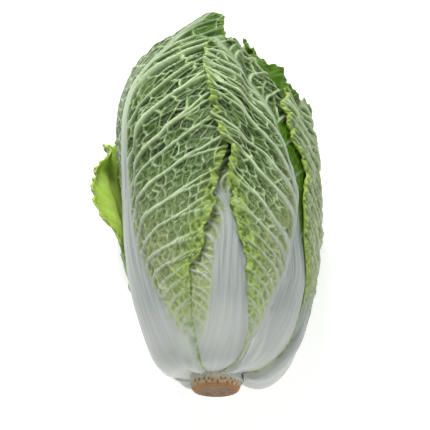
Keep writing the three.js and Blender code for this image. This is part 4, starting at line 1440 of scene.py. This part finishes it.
@dataclass
class CutStem:
    """The stump of the core, with its cut face and the scars of trimmed leaves round its side."""

    outline: Knots = (
        (0.9, 0), (0.5, 8), (0, 13.5), (0.4, 15.4), (1.4, 16.2), (3, 17.1), (4.6, 17.6), (7.5, 17.8),
        (10, 17.7), (12.2, 17.6), (12.9, 16.6), (12.9, 0))  # distance along the axis, and radius
    ring_step: float = 0.55  # between two rings of its mesh
    turns: int = 200  # how many sides each ring has
    scars: int = 27  # how many places for a scar each row has
    scar_rows: tuple[float, ...] = (3.3, 5.4)  # how far each row is behind the cut face
    scar_gap: float = 4.1  # between two of them
    ring: float = 11.2  # the radius of the sunk ring on the cut face

    def build(self, form: HeadForm, flesh: bpy.types.Material) -> bpy.types.Object:
        """Makes the stump, scars it and dresses it.

        Args:
            form: The head's form, for where the axis is.
            flesh: Its finish.

        Returns:
            The stump's object.
        """
        mesh = self._spun()
        x, s, z = corners(mesh).T
        r, angle = np.hypot(x, z), np.arctan2(z, x)
        on_side = smooth(13, 17, r) * (1 - smooth(8, 12, s))
        fluted = 1 + 0.012 * on_side * np.sin(self.scars * angle)
        scar = self._scars(s, angle)
        face = (1 - smooth(0.9, 1.6, s)) * (1 - smooth(14.8, 16.0, r))
        ring = np.exp(-((r - self.ring) / 1.1) ** 2)
        cut_in = face * (0.35 * ring + 0.22 * wander(x / 2.2, z / 2.2, 5)) + 0.5 * scar * on_side
        points = np.stack([x * fluted, s + face * np.abs(cut_in), z * fluted], axis=-1)
        sunk = np.where(s > 1.2, 1 - 0.03 * scar * on_side, 1.0)[:, None]
        points = points * (sunk * np.array([1, 0, 1]) + np.array([0, 1, 0]))
        points = points + np.array([form.middle_x, form.cut_y, form.axis_height])
        move_corners(mesh, points)
        paint(mesh, "cut", face)
        paint(mesh, "rim", smooth(12.4, 14.2, r) * (1 - smooth(1.2, 3.2, s)))
        paint(mesh, "scar", 0.8 * scar * on_side)
        # painted light: the side paler towards the leaves' feet, lifting the shade under them
        paint(mesh, "pale", smooth(4.0, 7.0, s) * (r > 12))
        piece = finished("cut_stem_flesh", mesh, flesh)
        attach(piece, "root")
        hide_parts("stem")
        return piece

    def _spun(self) -> bpy.types.Mesh:
        """Spins the stump's softened outline.

        Returns:
            The mesh, in millimetres, with its axis along Y and its cut face at 0.
        """
        knots = np.array(self.outline, dtype=float)
        length = np.concatenate([[0.0], np.cumsum(np.linalg.norm(np.diff(knots, axis=0), axis=1))])
        steps = np.linspace(0, length[-1], int(length[-1] / self.ring_step))
        profile = np.stack([np.interp(steps, length, knots[:, k]) for k in (1, 0)], axis=-1)
        profile[1:-1] = (profile[:-2] + 2 * profile[1:-1] + profile[2:]) / 4
        stump = bmesh.new()
        rail = [stump.verts.new((r, s, 0)) for r, s in profile]
        for start, end in zip(rail, rail[1:]):
            stump.edges.new((start, end))
        bmesh.ops.spin(stump, geom=stump.verts[:] + stump.edges[:], cent=(0, 0, 0), axis=(0, 1, 0),
                       angle=2 * math.pi, steps=self.turns, use_merge=True)
        bmesh.ops.remove_doubles(stump, verts=stump.verts, dist=0.0001)
        bmesh.ops.recalc_face_normals(stump, faces=stump.faces)
        mesh = bpy.data.meshes.new("cut_stem_flesh")
        stump.to_mesh(mesh)
        stump.free()
        return mesh

    def _scars(self, s: np.ndarray, angle: np.ndarray) -> np.ndarray:
        """Marks where the trimmed leaves grew.

        Args:
            s: How far each point is behind the cut face.
            angle: Its angle round the axis, in radians.

        Returns:
            How deep in a scar each point is.
        """
        scar = np.zeros(s.shape)
        for row, middle in enumerate(self.scar_rows):
            spot = angle / (2 * math.pi) * self.scars + 0.5 * row
            number = np.floor(spot)
            askew, lifted, luck = (chance(number, number, seed + row) for seed in (2.0, 5.0, 8.0))
            across = (spot - number - 0.5 + 0.3 * (askew - 0.5)) * self.scar_gap
            beyond = s - middle - 0.9 * (lifted - 0.5)
            out = np.hypot(across / 0.75, beyond / 1.15)
            scar = np.maximum(scar, (luck > 0.22) * (1 - smooth(0.55, 1.25, out)))
        return scar


# ---- studio ---------------------------------------------------------------------------------------
@dataclass
class Studio:
    """A white board, soft light from the upper left, and a camera that looks down along the head."""

    distance: float = 1200.0
    elevation: float = 67.0
    frame_pixels: float = 430.0
    focal_pixels: float = 1630.43
    aim_up: float = 20.24  # pixels by which the camera aims below the head's middle
    aim_right: float = 1.0  # pixels by which it aims to the left of it
    sensor: float = 36.0

    def build(self, form: HeadForm) -> None:
        """Makes the board, the lights and the camera.

        Args:
            form: The head's form, for where the camera aims.
        """
        self._board()
        self._light("key_softbox", (-0.35, 0.9, 1.1), 0.6, 22.5)
        self._light("front_softbox", (0.5, -1.1, 1.0), 1.4, 13.0)
        world = bpy.data.worlds.new("studio_room")
        bpy.context.scene.world = world
        world.use_nodes = True
        sky = world.node_tree.nodes["Background"]
        sky.inputs["Color"].default_value = linear("#f8f9fb")
        sky.inputs["Strength"].default_value = 0.36
        bpy.context.scene.view_settings.view_transform = "Standard"
        self._camera(form)

    def _board(self) -> None:
        """The plain ground, just under the table level so that the two never share a plane."""
        flat = bmesh.new()
        bmesh.ops.create_grid(flat, x_segments=4, y_segments=4, size=3.0,
                              matrix=Matrix.Translation((0, 0, -0.0002)))
        mesh = bpy.data.meshes.new("studio_floor")
        flat.to_mesh(mesh)
        flat.free()
        finished("studio_floor", mesh, StudioBoard().material())

    def _light(self, name: str, place: tuple[float, float, float], size: float, power: float) -> None:
        """Hangs a square softbox that faces the head.

        Args:
            name: Its name.
            place: Where it hangs, in metres.
            size: Its side, in metres.
            power: Its power, in watts.
        """
        lamp = bpy.data.lights.new(name, "AREA")
        lamp.size, lamp.energy = size, power
        box = bpy.data.objects.new(name, lamp)
        box.location = place
        box.rotation_euler = (Vector((0, 0, 0.06)) - box.location).to_track_quat("-Z", "Y").to_euler()
        bpy.context.scene.collection.objects.link(box)

    def _camera(self, form: HeadForm) -> None:
        """Sets the camera up and aims it.

        Args:
            form: The head's form, whose middle it aims at.
        """
        middle = Vector((form.middle_x, 150 + form.cut_y, form.axis_height)) / 1000
        tilt = math.radians(self.elevation)
        back = Vector((0, -math.cos(tilt), math.sin(tilt)))
        up = Vector((0, math.sin(tilt), math.cos(tilt)))
        right = Vector((1, 0, 0))
        eye = middle + back * self.distance / 1000
        aim = (middle - eye).normalized() - up * self.aim_up / self.focal_pixels
        aim = aim - right * self.aim_right / self.focal_pixels
        lens = bpy.data.cameras.new("camera")
        lens.sensor_width, lens.lens = self.sensor, self.focal_pixels * self.sensor / self.frame_pixels
        lens.clip_start, lens.clip_end = 0.05, 20.0
        camera = bpy.data.objects.new("camera", lens)
        camera.location = eye
        camera.rotation_euler = aim.to_track_quat("-Z", "Y").to_euler()
        bpy.context.scene.collection.objects.link(camera)
        bpy.context.scene.camera = camera


def main() -> None:
    """Builds the head from the inside out, then the studio round it."""
    logging.basicConfig(level=logging.INFO, format="%(message)s")
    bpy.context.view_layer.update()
    low, high = (Vector(corner) * 1000 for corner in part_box("stem"))
    form = HeadForm(middle_x=(low.x + high.x) / 2 - 0.05, cut_y=low.y)
    form.axis_height = (low.z + high.z) / 2
    Studio().build(form)
    stack = LeafStack(form)
    skin = NapaLeafSkin().material()
    pieces = [CutStem().build(form, CutStemFlesh().material()), PackedHeart().build(form, stack, skin)]
    pieces += [leaf.build(form, stack, skin) for leaf in leaves()]
    total = 0
    for piece in pieces:
        piece.data.calc_loop_triangles()
        total += len(piece.data.loop_triangles)
        log.info("%s: %d triangles", piece.name, len(piece.data.loop_triangles))
    log.info("the head has %d triangles", total)


if __name__ == "__main__":
    main()
